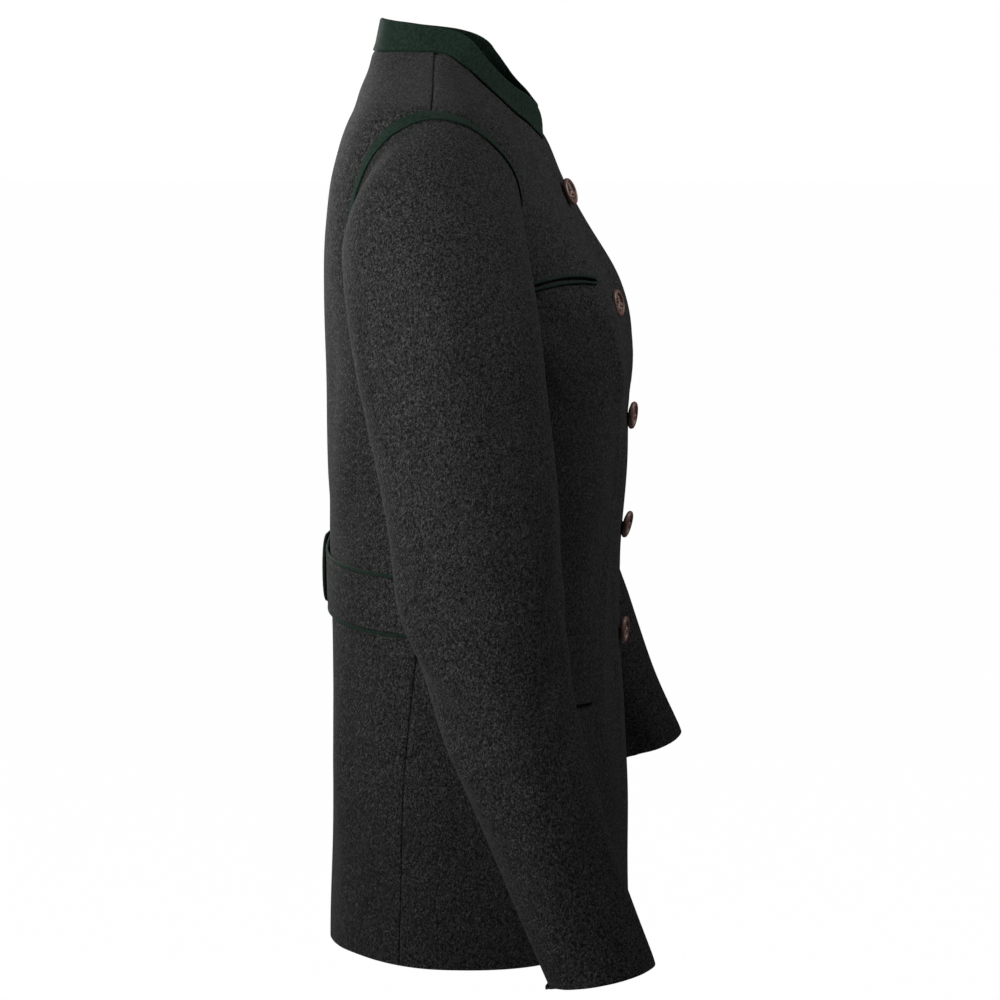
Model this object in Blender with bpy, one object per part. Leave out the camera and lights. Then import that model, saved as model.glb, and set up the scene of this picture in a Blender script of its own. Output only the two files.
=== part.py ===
"""Women's hip-length loden jacket with a felt stand collar, filled out as it is worn.

Units are metres and +Z is up. The wearer faces -Y, so the wearer's left side is at +X.
The origin is inside the neck at the level of the shoulder line, where the shoulders hold it.

Every cloth piece is a flat pattern piece with a real wall, laid on one body form or on one
sleeve form. The body form is a stack of level sections, each a rounded oval. A piece is cut
out of the form by its own limits, and pieces stay SEAM_GAP apart where they are sewn.
"""

import math

import bmesh
import bpy
from mathutils import Matrix, Vector

CLOTH_WALL = 0.0020  # milled loden
FELT_WALL = 0.0012  # armhole bands and pocket welts
COLLAR_WALL = 0.0028  # two layers of felt with a canvas between
SEAM_GAP = 0.0003
LIE_GAP = 0.00045  # under what lies on a panel
RIGHT = -1
LEFT = 1
SHARP_DEGREES = 40.0

# Body form. A section is an oval with its own power in front and behind: 2 is an ellipse,
# and a higher power is squarer.
BODY_COLUMNS = (
    "height",
    "half_width",
    "side_y",
    "front_y",
    "back_y",
    "front_power",
    "back_power",
)
BODY_SECTIONS = (
    (0.004, 0.068, 0.012, -0.012, 0.0655, 2.0, 2.2),  # side of the neck
    (-0.010, 0.106, 0.009, -0.018, 0.0690, 2.0, 2.2),
    (-0.024, 0.146, 0.005, -0.031, 0.0725, 2.1, 2.3),
    (-0.038, 0.184, 0.002, -0.042, 0.0745, 2.2, 2.4),  # tip of the shoulder
    (-0.050, 0.188, 0.001, -0.052, 0.0785, 2.5, 2.7),
    (-0.065, 0.189, 0.000, -0.062, 0.0835, 2.7, 2.8),
    (-0.095, 0.189, -0.002, -0.073, 0.0915, 2.8, 2.9),
    (-0.130, 0.188, -0.004, -0.088, 0.0960, 2.8, 2.9),
    (-0.175, 0.187, -0.005, -0.109, 0.0975, 2.7, 2.7),
    (-0.225, 0.186, -0.006, -0.1215, 0.0985, 2.6, 2.5),  # bust
    (-0.300, 0.177, -0.006, -0.1260, 0.0985, 2.5, 2.4),
    (-0.385, 0.169, -0.006, -0.1205, 0.0980, 2.4, 2.3),  # waist
    (-0.440, 0.173, -0.006, -0.1205, 0.0975, 2.4, 2.3),
    (-0.520, 0.185, -0.006, -0.1260, 0.0985, 2.4, 2.2),  # hip
    (-0.600, 0.192, -0.006, -0.1280, 0.1000, 2.4, 2.0),
    (-0.690, 0.196, -0.006, -0.1290, 0.1030, 2.4, 1.9),
)
BUST_DART_X = 0.082  # the fullness stands over the point of the bust dart
BUST_DART_HEIGHT = -0.190
BUST_DART_FULLNESS = 0.0145
BUST_DART_SPREAD_X = 0.040
BUST_DART_SPREAD_Z = 0.075
FRONT_RADIUS = 0.22  # mean radius of the front half, which turns a seam gap into an angle

# Hem, cut longer at the centre back.
HEM_SIDE = -0.656
HEM_BACK_DROP = 0.028
HEM_FRONT_DROP = 0.008
HEM_BLEND_HEIGHT = 0.200

# Armhole, an upright oval seen from the side.
ARM_Y = 0.002
ARM_Z = -0.1225
ARM_HALF_DEPTH = 0.0605
ARM_HALF_HEIGHT = 0.0845
SHOULDER_TIP = ARM_Z + ARM_HALF_HEIGHT
UNDERARM = ARM_Z - ARM_HALF_HEIGHT

# The side seam runs back from the underarm and then down to the hem.
SIDE_SEAM_COLUMNS = ("height", "y")
SIDE_SEAM = (
    (UNDERARM, 0.0020),
    (-0.300, 0.0060),
    (-0.390, 0.0115),
    (-0.436, 0.0165),
    (-0.480, 0.0212),
    (-0.520, 0.0243),
    (-0.600, 0.0268),
    (-0.720, 0.0290),
)

# Front edge and neckline, as the distance from the centre line to the wearer's own side. It is
# negative where one front laps past the centre line.
FRONT_EDGE_COLUMNS = ("height", "x")
FRONT_LAP = 0.019
LAP_CLEAR_X = 0.046  # the upper front starts to rise here
LAP_RAMP = 0.018
FRONT_EDGE = (
    (-0.720, -FRONT_LAP),
    (-0.090, -FRONT_LAP),
    (-0.078, -0.0165),
    (-0.070, -0.0090),
    (-0.0635, 0.0040),
    (-0.057, 0.0200),
    (-0.042, 0.0440),
    (-0.024, 0.0640),
    (-0.006, 0.0715),
    (0.003, 0.0690),
)

# Collar: height of the band and its lean towards the neck, by the share of the way from the
# centre front to the centre back.
COLLAR_COLUMNS = ("share", "band_height", "lean_degrees")
COLLAR_BAND = (
    (0.00, 0.0215, 0.0),
    (0.20, 0.0200, 8.0),
    (0.40, 0.0180, 18.0),
    (0.55, 0.0190, 20.0),
    (0.75, 0.0230, 16.0),
    (1.00, 0.0255, 11.0),
)
COLLAR_CORNER = 0.016  # reach of the rounded front corner
COLLAR_CORNER_STEPS = (0.30, 0.62)  # shares of the first stretch, where the corner needs columns
COLLAR_ROWS = 3
COLLAR_END_GAP = 0.003
COLLAR_SEAM_GAP = 0.0005
COLLAR_END_SHARE = 0.40  # height of the band at its very end, before the corner rises
COLLAR_CENTRE_Y = 0.010

# Sleeve form: level, middle and half sizes of each ring below the underarm.
SLEEVE_COLUMNS = ("height", "x", "y", "half_depth", "half_thickness")
SLEEVE_RINGS = (
    (-0.222, 0.2470, -0.0195, 0.0640, 0.0555),
    (-0.300, 0.2660, -0.0335, 0.0595, 0.0540),
    (-0.370, 0.2830, -0.0440, 0.0560, 0.0510),
    (-0.430, 0.2970, -0.0590, 0.0478, 0.0470),  # elbow
    (-0.480, 0.3090, -0.0755, 0.0430, 0.0440),
    (-0.550, 0.3250, -0.1030, 0.0378, 0.0405),
    (-0.609, 0.3380, -0.1285, 0.0365, 0.0385),  # cuff
)
SLEEVE_TOP = SLEEVE_RINGS[0][0]
CUFF = SLEEVE_RINGS[-1][0]
RING_STEP = 0.004

# Sleeve cap. It leaves the armhole outwards and downwards, and each pull says how far it keeps
# the direction that it has at the armhole or at the first ring.
CAP_OUT = 0.90
CAP_FORWARD = 0.24
CAP_DOWN_TOP = 0.30
CAP_DOWN_UNDER = 0.62
LEDGE_DEGREES = -42.0  # where the sleeve head lies flattest against the body's side
LEDGE_WIDTH = 0.0090
LEDGE_FADE = 2
LEDGE_SHARE = 0.08  # share of the cap over which it lies there
LEDGE_END = 0.36  # share over which it comes back out
CAP_PULL_TOP = 0.185
CAP_PULL_UNDER = 0.030
CAP_PULL_FADE = 1.3
RING_PULL_TOP = 0.240
RING_PULL_UNDER = 0.030
RING_PULL_STEP = 0.010

# Felt band round the top of the armhole, tapering to a point at both ends.
BAND_FRONT_DEGREES = 78.0
BAND_BACK_DEGREES = -99.0
BAND_WIDTH = 0.0105
BAND_TAPER = 0.55
BAND_TIP_STEPS = (0.006, 0.016)  # shares of a full turn, from each tip
BAND_TIP_SHARE = 0.02
BAND_ROOM = 0.04  # share of the cap over which the band's width is measured

# Chest pocket: a slit with a felt welt all round it.
CHEST_POCKET_IN_X = 0.098
CHEST_POCKET_OUT_X = 0.169
CHEST_POCKET_HEIGHT = -0.1625
CHEST_POCKET_RISE = 0.0035
CHEST_POCKET_HALF_OPENING = 0.0011
WELT_WIDTH = 0.0024
WELT_BLUNTNESS = 2.5
WELT_COLUMNS = 32

# Hip pocket flap. Its top slants down towards the front.
FLAP_FRONT_X = 0.090
FLAP_BACK_Y = -0.030
FLAP_TOP_FRONT = -0.4255
FLAP_TOP_BACK = -0.4130
FLAP_DROP = 0.051
FLAP_CORNER = 0.012
FLAP_CORNER_STEPS = (0.12, 0.45, 1.0)
FLAP_ROWS = 4

# Half belt across the back waist, in two halves that lap at the centre back.
BELT_MIDDLE = -0.3935
BELT_HALF_HEIGHT = 0.0200
BELT_END_HALF_HEIGHT = 0.0240
BELT_LAP = 0.030
BELT_END_GROWTH = 0.060
BELT_LAP_LIFT = 0.0036
BELT_LAP_CLEAR = 0.040
BELT_LAP_RAMP = 0.020
BELT_SLACK = 0.0012
BELT_SLACK_REACH = 0.120
BELT_POINT = 0.0012  # half height left at the very tip of the round end
BELT_SEAM_START = 0.006  # share of the back's width between the side seam and the belt
BELT_SEAM_STEPS = (0.5, 1.25, 1.5, 1.75, 2.5)  # in columns of the back, where it bends most
BELT_END_DEGREES = (8, 22, 38, 54, 72)
BELT_GAUGE = 0.05  # share of the back over which its width is measured
PIPING_RADIUS = 0.0012
PIPING_TURN_DEGREES = 15

# Buttons hang a little askew on their thread shanks: turned to the wearer's right, and nodding.
BUTTON_SEAT_COLUMNS = ("turn_degrees", "nod_degrees")
BUTTON_SEATS = (
    (16.0, 4.0),
    (16.0, 6.0),
    (10.0, 8.0),
    (10.0, 8.0),
    (10.0, 4.0),
)
BUTTON_TOP = -0.1045
BUTTON_SPACING = 0.0840
BUTTON_RADIUS = 0.0108
BUTTON_THICKNESS = 0.0048
BUTTON_SEAT_GAP = 0.0005
BUTTON_SIDES = 20
BUTTON_PROFILE_COLUMNS = ("share_of_radius", "share_of_thickness")
BUTTON_PROFILE = (
    (0.00, 0.00),
    (0.62, 0.00),
    (0.92, 0.22),
    (1.00, 0.52),
    (0.94, 0.86),
    (0.80, 1.00),  # top of the rim
    (0.66, 0.86),
    (0.00, 0.80),
)

BACK_COLUMNS = 16
FRONT_COLUMNS = 12
SLEEVE_COLUMNS_ROUND = 20  # one for each level of the armhole, in front and behind
ARMHOLE_LEVELS = 10
CAP_ROWS = 7
CAP_SEAM_ROWS = (0.026, 0.052)  # further rows of points under the felt band
ARM_ROWS = 9
SKIRT_LEVELS = (HEM_SIDE, -0.600, -0.545, -0.490, -0.440, -0.395, -0.350, -0.305, -0.265, -0.232)
BACK_SHOULDER_LEVELS = (-0.028, -0.018, -0.008, 0.0035)
FRONT_SHOULDER_LEVELS = (-0.030, -0.020, -0.010, 0.0015)
FRONT_CORNER_LEVELS = (-0.090, -0.079, -0.070, -0.0635)

LEVELS_APART = 0.004
COLUMNS_APART = 0.15  # least share of a column
EXTRA_APART = 0.05
SMALL_ANGLE = 1e-3
SMALL_STEP = 1e-4
WELD_DISTANCE = 1e-6


def table_value(columns, rows, name, at):
    """Smooth value of one column at a place along the first column, whichever way it runs."""
    column = columns.index(name)
    if rows[0][0] > rows[-1][0]:
        rows = rows[::-1]
    if at <= rows[0][0]:
        return rows[0][column]
    if at >= rows[-1][0]:
        return rows[-1][column]
    index = max(i for i in range(len(rows) - 1) if rows[i][0] <= at)

    def slope(i):
        before = rows[max(i - 1, 0)]
        after = rows[min(i + 1, len(rows) - 1)]
        here = rows[i]
        fall = (here[column] - before[column]) * (after[column] - here[column])
        if 0 < i < len(rows) - 1 and fall <= 0:
            return 0.0
        return (after[column] - before[column]) / (after[0] - before[0])

    low, high = rows[index], rows[index + 1]
    span = high[0] - low[0]
    t = (at - low[0]) / span
    return (
        (2 * t**3 - 3 * t**2 + 1) * low[column]
        + (t**3 - 2 * t**2 + t) * span * slope(index)
        + (3 * t**2 - 2 * t**3) * high[column]
        + (t**3 - t**2) * span * slope(index + 1)
    )


def ease(t):
    t = min(max(t, 0.0), 1.0)
    return t * t * (3 - 2 * t)


def lerp(a, b, t):
    return a + (b - a) * t


# ---------------------------------------------------------------- body form


def body_section(z):
    return {name: table_value(BODY_COLUMNS, BODY_SECTIONS, name, z) for name in BODY_COLUMNS}


def half_of(section, is_front):
    """Depth and power of the front or the back half of a section."""
    if is_front:
        return section["side_y"] - section["front_y"], section["front_power"]
    return section["back_y"] - section["side_y"], section["back_power"]


def body_point(angle, z):
    """Point of the form: angle 0 is the centre front, +90 degrees the left side, 180 the back."""
    section = body_section(z)
    sine, cosine = math.sin(angle), math.cos(angle)
    depth, power = half_of(section, cosine > 0)
    reach = ((abs(sine) / section["half_width"]) ** power + (abs(cosine) / depth) ** power) ** (-1 / power)
    x = reach * sine
    y = section["side_y"] - reach * cosine
    if cosine > 0:
        across = (abs(x) - BUST_DART_X) / BUST_DART_SPREAD_X
        along = (z - BUST_DART_HEIGHT) / BUST_DART_SPREAD_Z
        y -= BUST_DART_FULLNESS * math.exp(-across * across - along * along)
    return Vector((x, y, z))


def body_normal(angle, z):
    round_it = body_point(angle + SMALL_ANGLE, z) - body_point(angle - SMALL_ANGLE, z)
    up_it = body_point(angle, z + SMALL_STEP) - body_point(angle, z - SMALL_STEP)
    return round_it.cross(up_it).normalized()


def body_shell(angle, z, lift):
    return body_point(angle, z) + body_normal(angle, z) * lift


def angle_at_y(y, z):
    """Angle, on the left half of the form, of the point at this depth."""
    section = body_section(z)
    depth, power = half_of(section, y < section["side_y"])
    along = min(abs(y - section["side_y"]) / depth, 1.0)
    x = section["half_width"] * (1 - along**power) ** (1 / power)
    return math.atan2(x, section["side_y"] - y)


def angle_at_x(x, z, is_front=True):
    section = body_section(z)
    depth, power = half_of(section, is_front)
    across = min(abs(x) / section["half_width"], 1.0)
    reach = depth * (1 - across**power) ** (1 / power)
    return math.atan2(x, reach if is_front else -reach)


def hem_shift(angle, z):
    """How far the rows near the hem move so that the hem has its cut."""
    fade = ease((HEM_SIDE + HEM_BLEND_HEIGHT - z) / HEM_BLEND_HEIGHT)
    drop = HEM_BACK_DROP if math.cos(angle) < 0 else HEM_FRONT_DROP
    return -drop * fade * math.cos(angle) ** 2


def armhole_y(z, way):
    level = min(max((z - ARM_Z) / ARM_HALF_HEIGHT, -1.0), 1.0)
    return ARM_Y + way * ARM_HALF_DEPTH * math.sqrt(1 - level * level)


def side_limit(z, way):
    """Angle where a front (way -1) or the back (way 1) ends at the shoulder, armhole or side seam."""
    if z >= SHOULDER_TIP:
        return math.pi / 2
    if z > UNDERARM:
        return angle_at_y(armhole_y(z, way), z)
    return angle_at_y(table_value(SIDE_SEAM_COLUMNS, SIDE_SEAM, "y", z), z)


def front_limit(z):
    return angle_at_x(table_value(FRONT_EDGE_COLUMNS, FRONT_EDGE, "x", z), z)


def lap_lift(x):
    """The right front rises over the left one where they lap."""
    return (CLOTH_WALL + SEAM_GAP) * ease((LAP_CLEAR_X - x) / LAP_RAMP)


def mirrored(point, side):
    return Vector((side * point.x, point.y, point.z))


# ---------------------------------------------------------------- panels as grids of facets


class Panel:
    """A cloth panel: its columns, its levels and the rule that places its points.

    point gives a grid point of the form, and facet gives the same place on the flat facets
    between the panel's own grid points, so that what lies on the panel touches it evenly.
    """

    def __init__(self, columns, levels, rule):
        self.columns = columns
        self.levels = sorted(levels)
        self.point = rule

    def facet(self, u, level, lift):
        """Place on the panel's flat triangles, which split each grid cell at its short diagonal."""
        column = min(max(int(math.floor(u * self.columns)), 0), self.columns - 1)
        row = max(i for i in range(len(self.levels) - 1) if i == 0 or self.levels[i] <= level)
        sides = (column / self.columns, (column + 1) / self.columns)
        heights = (self.levels[row], self.levels[row + 1])
        s = u * self.columns - column
        t = (level - heights[0]) / (heights[1] - heights[0])
        face = [[self.point(side, height, 0.0) for side in sides] for height in heights]
        lifted = [[self.point(side, height, lift) for side in sides] for height in heights]
        if (face[0][0] - face[1][1]).length <= (face[0][1] - face[1][0]).length:
            if s >= t:
                return lifted[0][0] * (1 - s) + lifted[0][1] * (s - t) + lifted[1][1] * t
            return lifted[0][0] * (1 - t) + lifted[1][0] * (t - s) + lifted[1][1] * s
        if s + t <= 1:
            return lifted[0][0] * (1 - s - t) + lifted[0][1] * s + lifted[1][0] * t
        return lifted[1][1] * (s + t - 1) + lifted[0][1] * (1 - t) + lifted[1][0] * (1 - s)

    def columns_between(self, start, end, extra=()):
        inside = [i / self.columns for i in range(self.columns + 1)]
        apart, extra_apart = COLUMNS_APART / self.columns, EXTRA_APART / self.columns
        inside = [u for u in inside if start + apart < u < end - apart]
        inside = [u for u in inside if all(abs(u - e) > extra_apart for e in extra)]
        return sorted([start, *inside, *extra, end])


def armhole_levels():
    """Heights round the armhole at even turns, closest together at its top and bottom."""
    turns = [math.pi * i / ARMHOLE_LEVELS for i in range(ARMHOLE_LEVELS + 1)]
    return [ARM_Z + ARM_HALF_HEIGHT * math.cos(turn) for turn in turns]


def trimmed(start, end, u, width):
    """Angle a share u of the way between two limits, less half a seam gap at each end."""
    margin = SEAM_GAP / 2 / width
    return lerp(start, end, lerp(margin, 1 - margin, u))


def back_panel():
    def point(u, z, lift):
        limit = side_limit(z, 1)
        width = 2 * body_section(z)["half_width"]
        angle = trimmed(limit, 2 * math.pi - limit, u, width)
        return body_shell(angle, z + hem_shift(angle, z), lift)

    return Panel(BACK_COLUMNS, [*SKIRT_LEVELS, *armhole_levels(), *BACK_SHOULDER_LEVELS], point)


def front_panel(side):
    def point(u, z, lift):
        start, end = front_limit(z), side_limit(z, -1)
        angle = trimmed(start, end, u, FRONT_RADIUS * (end - start))
        z += hem_shift(angle, z)
        if side == RIGHT:
            lift += lap_lift(body_point(angle, z).x)
        return mirrored(body_shell(angle, z, lift), side)

    corner = FRONT_CORNER_LEVELS
    armhole = [z for z in armhole_levels() if all(abs(z - c) > LEVELS_APART for c in corner)]
    levels = [*SKIRT_LEVELS, *armhole, *corner, *FRONT_SHOULDER_LEVELS]
    return Panel(FRONT_COLUMNS, levels, point)


def front_share(x, z):
    """Share of the way across a front panel at a distance from the centre line."""
    start, end = front_limit(z), side_limit(z, -1)
    return (angle_at_x(x, z) - start) / (end - start)


# ---------------------------------------------------------------- making solids


def clear_scene():
    for obj in list(bpy.data.objects):
        bpy.data.objects.remove(obj, do_unlink=True)


def material(name, colour, roughness, metallic=0.0):
    made = bpy.data.materials.new(name)
    made.use_nodes = True
    shader = made.node_tree.nodes["Principled BSDF"]
    shader.inputs["Base Color"].default_value = (*colour, 1.0)
    shader.inputs["Roughness"].default_value = roughness
    shader.inputs["Metallic"].default_value = metallic
    made.diffuse_color = (*colour, 1.0)
    return made


def add_object(name, bm, finish):
    bmesh.ops.recalc_face_normals(bm, faces=bm.faces[:])
    mesh = bpy.data.meshes.new(name)
    bm.to_mesh(mesh)
    bm.free()
    mesh.materials.append(finish)
    mesh.shade_smooth()
    mesh.set_sharp_from_angle(angle=math.radians(SHARP_DEGREES))
    obj = bpy.data.objects.new(name, mesh)
    bpy.context.collection.objects.link(obj)
    return obj


def cloth_piece(name, place, across, along, wall, finish, closed=False):
    """A flat grid with a second layer under it, wrapped on a form.

    place(u, level, lift) gives a point at a column u and a level, off the form by lift.
    wall is the lift of the back of the cloth and of its face. across and along list the
    columns and levels. A closed piece joins its last column to its first.
    """
    bm = bmesh.new()
    columns, rows = len(across) - 1, len(along) - 1
    bmesh.ops.create_grid(bm, x_segments=columns, y_segments=rows, size=0.5)
    if closed:
        for vert in bm.verts:
            if vert.co.x > 0.5 - SMALL_STEP:
                vert.co.x = -0.5
        bmesh.ops.remove_doubles(bm, verts=bm.verts[:], dist=SMALL_STEP)
    layers = bmesh.ops.extrude_face_region(bm, geom=bm.faces[:], use_keep_orig=True)
    under = {item for item in layers["geom"] if isinstance(item, bmesh.types.BMVert)}
    for vert in bm.verts:
        u = across[round((vert.co.x + 0.5) * columns)]
        level = along[round((vert.co.y + 0.5) * rows)]
        vert.co = place(u, level, wall[0] if vert in under else wall[1])
    bmesh.ops.triangulate(bm, faces=bm.faces[:], quad_method="SHORT_EDGE", ngon_method="BEAUTY")
    return add_object(name, bm, finish)


def shares(count):
    return [i / count for i in range(count + 1)]


def make_panel(name, panel, finish):
    wall = (-CLOTH_WALL, 0.0)
    return cloth_piece(name, panel.point, shares(panel.columns), panel.levels, wall, finish)


# ---------------------------------------------------------------- collar


def neck_seam(side, front, back):
    """The neck edge of the body from the centre front to the centre back, on one side."""
    first = FRONT_CORNER_LEVELS[-1]
    angle = angle_at_x(COLLAR_END_GAP, first)
    lift = lap_lift(0.0) if side == RIGHT else 0.0
    route = [mirrored(body_shell(angle, first, lift), side)]
    route += [front.point(0.0, level, 0.0) for level in front.levels if level > first + LEVELS_APART]
    half = BACK_COLUMNS // 2
    for i in range(half + 1):
        u = i / BACK_COLUMNS if side == LEFT else 1 - i / BACK_COLUMNS
        route.append(back.point(u, back.levels[-1], 0.0))
    return route


def make_collar(right_front, left_front, back, finish):
    """A band that stands on the neck seam, lower at the sides, with rounded front corners."""
    seams = {}
    for side, front in ((RIGHT, right_front), (LEFT, left_front)):
        route = neck_seam(side, front, back)
        extra = [route[0].lerp(route[1], t) for t in COLLAR_CORNER_STEPS]
        seams[side] = [route[0], *extra, *route[1:]]
    whole = seams[RIGHT] + seams[LEFT][-2::-1]
    middle = len(seams[RIGHT]) - 1
    lengths = [0.0]
    for a, b in zip(whole, whole[1:]):
        lengths.append(lengths[-1] + (b - a).length)
    half_length = lengths[middle]

    def place(index, v, lift):
        index = round(index)
        before, after = whole[max(index - 2, 0)], whole[min(index + 2, len(whole) - 1)]
        along = (after - before).normalized()
        from_front = min(lengths[index], lengths[-1] - lengths[index])
        if from_front < COLLAR_CORNER or index == middle:
            along = Vector((math.copysign(1.0, after.x - before.x), 0.0, 0.0))
        inward = Vector((along.y, -along.x, 0.0)).normalized()
        if index == middle:
            inward = Vector((0.0, -1.0, 0.0))
        elif inward.y * (whole[index].y - COLLAR_CENTRE_Y) + inward.x * whole[index].x > 0:
            inward = -inward
        upward = along.cross(inward).normalized()
        if upward.z < 0:
            upward = -upward
        share = min(from_front / half_length, 1.0)
        lean = math.radians(table_value(COLLAR_COLUMNS, COLLAR_BAND, "lean_degrees", share))
        rise = upward * math.cos(lean) + inward * math.sin(lean)
        outward = upward * math.sin(lean) - inward * math.cos(lean)
        height = table_value(COLLAR_COLUMNS, COLLAR_BAND, "band_height", share)
        corner_reach = min(from_front / COLLAR_CORNER, 1.0)
        height *= COLLAR_END_SHARE + (1 - COLLAR_END_SHARE) * math.sqrt(1 - (1 - corner_reach) ** 2)
        return whole[index] + rise * (COLLAR_SEAM_GAP + v * height) + outward * lift

    across = list(range(len(whole)))
    wall = (-COLLAR_WALL, 0.0)
    return cloth_piece("collar", place, across, shares(COLLAR_ROWS), wall, finish)


# ---------------------------------------------------------------- sleeve form


def sleeve_middle(z):
    return Vector(
        (
            table_value(SLEEVE_COLUMNS, SLEEVE_RINGS, "x", z),
            table_value(SLEEVE_COLUMNS, SLEEVE_RINGS, "y", z),
            z,
        )
    )


def sleeve_ring_point(turn, z):
    """turn 0 is the outer side, 90 degrees the front, 180 the side next to the body."""
    above = min(z + RING_STEP, SLEEVE_TOP)
    down = (sleeve_middle(z - RING_STEP) - sleeve_middle(above)).normalized()
    forward = Vector((0, -1, 0))
    forward = (forward - down * forward.dot(down)).normalized()
    outward = down.cross(forward).normalized()
    if outward.x < 0:
        outward = -outward
    depth = table_value(SLEEVE_COLUMNS, SLEEVE_RINGS, "half_depth", z)
    thickness = table_value(SLEEVE_COLUMNS, SLEEVE_RINGS, "half_thickness", z)
    return sleeve_middle(z) + outward * thickness * math.cos(turn) + forward * depth * math.sin(turn)


def armhole_point(turn, inset=0.0):
    y = ARM_Y - (ARM_HALF_DEPTH - SEAM_GAP - inset) * math.sin(turn)
    z = ARM_Z + (ARM_HALF_HEIGHT - SEAM_GAP - inset) * math.cos(turn)
    return body_point(angle_at_y(y, z), z)


def sleeve_point(turn, v):
    """v runs from -1 at the armhole through 0 at the underarm level to 1 at the cuff."""
    if v >= 0:
        return sleeve_ring_point(turn, lerp(SLEEVE_TOP, CUFF, v))
    t = 1 + v
    top = (1 + math.cos(turn)) / 2
    start, end = armhole_point(turn), sleeve_ring_point(turn, SLEEVE_TOP)
    drop = lerp(CAP_DOWN_UNDER, CAP_DOWN_TOP, top)
    away = Vector((CAP_OUT, -CAP_FORWARD * math.sin(turn), -drop)).normalized()
    below = (sleeve_ring_point(turn, SLEEVE_TOP - RING_PULL_STEP) - end).normalized()
    start_pull = away * lerp(CAP_PULL_UNDER, CAP_PULL_TOP, top**CAP_PULL_FADE)
    end_pull = below * lerp(RING_PULL_UNDER, RING_PULL_TOP, top)
    lay = max(math.cos(turn - math.radians(LEDGE_DEGREES)), 0.0) ** LEDGE_FADE
    ledge = armhole_point(turn, LEDGE_WIDTH * lay) - start
    laid = 1 - (1 - min(t / LEDGE_SHARE, 1.0)) ** 2
    laid *= 1 - ease((t - LEDGE_SHARE) / (LEDGE_END - LEDGE_SHARE))
    return (
        (start + ledge * laid) * (2 * t**3 - 3 * t**2 + 1)
        + start_pull * (t**3 - 2 * t**2 + t)
        + end * (3 * t**2 - 2 * t**3)
        + end_pull * (t**3 - t**2)
    )


def sleeve_normal(turn, v):
    low, high = max(v - SMALL_ANGLE, -1.0), min(v + SMALL_ANGLE, 1.0)
    round_it = sleeve_point(turn + SMALL_ANGLE, v) - sleeve_point(turn - SMALL_ANGLE, v)
    down_it = sleeve_point(turn, high) - sleeve_point(turn, low)
    return round_it.cross(down_it).normalized()


def sleeve_panel(side):
    def point(u, v, lift):
        turn = 2 * math.pi * u
        return mirrored(sleeve_point(turn, v) + sleeve_normal(turn, v) * lift, side)

    levels = [i / CAP_ROWS - 1 for i in range(CAP_ROWS)] + shares(ARM_ROWS)
    levels[1:1] = [share - 1 for share in CAP_SEAM_ROWS]
    return Panel(SLEEVE_COLUMNS_ROUND, levels, point)


def make_sleeve(name, panel, finish):
    wall = (-CLOTH_WALL, 0.0)
    across = shares(panel.columns)
    return cloth_piece(name, panel.point, across, panel.levels, wall, finish, closed=True)


def make_armhole_band(name, sleeve, finish):
    first = BAND_BACK_DEGREES / 360
    last = BAND_FRONT_DEGREES / 360
    tips = [first + step for step in BAND_TIP_STEPS] + [last - step for step in BAND_TIP_STEPS]
    own = [i / SLEEVE_COLUMNS_ROUND for i in range(-SLEEVE_COLUMNS_ROUND, SLEEVE_COLUMNS_ROUND)]
    across = sorted(u for u in {first, *tips, *own, last} if first <= u <= last)

    def place(u, v, lift):
        along = lerp(BAND_TIP_SHARE, 1 - BAND_TIP_SHARE, (u - first) / (last - first))
        width = BAND_WIDTH * math.sin(math.pi * along) ** BAND_TAPER
        turn = 2 * math.pi * u
        room = (sleeve_point(turn, BAND_ROOM - 1) - sleeve_point(turn, -1.0)).length
        level = (SEAM_GAP + v * width) * BAND_ROOM / room - 1
        return sleeve.facet(u % 1.0, level, lift)

    wall = (LIE_GAP, LIE_GAP + FELT_WALL)
    return cloth_piece(name, place, across, shares(1), wall, finish)


# ---------------------------------------------------------------- pockets, belt, buttons


def make_chest_welt(name, front, finish):
    """A flat ring of felt round the slit, with pointed ends."""

    def place(u, v, lift):
        turn = 2 * math.pi * u
        sine, cosine = math.sin(turn), math.cos(turn)
        along = (1 + cosine) / 2
        bow = CHEST_POCKET_RISE * (1 - (2 * along - 1) ** 2)
        blunt = math.copysign(min(abs(sine) * WELT_BLUNTNESS, 1.0), sine)
        z = CHEST_POCKET_HEIGHT + bow + blunt * (CHEST_POCKET_HALF_OPENING + v * WELT_WIDTH)
        x = lerp(CHEST_POCKET_OUT_X, CHEST_POCKET_IN_X, along) - v * WELT_WIDTH * cosine
        return front.facet(front_share(x, z), z, lift)

    wall = (LIE_GAP, LIE_GAP + FELT_WALL)
    return cloth_piece(name, place, shares(WELT_COLUMNS), shares(1), wall, finish, closed=True)


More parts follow.
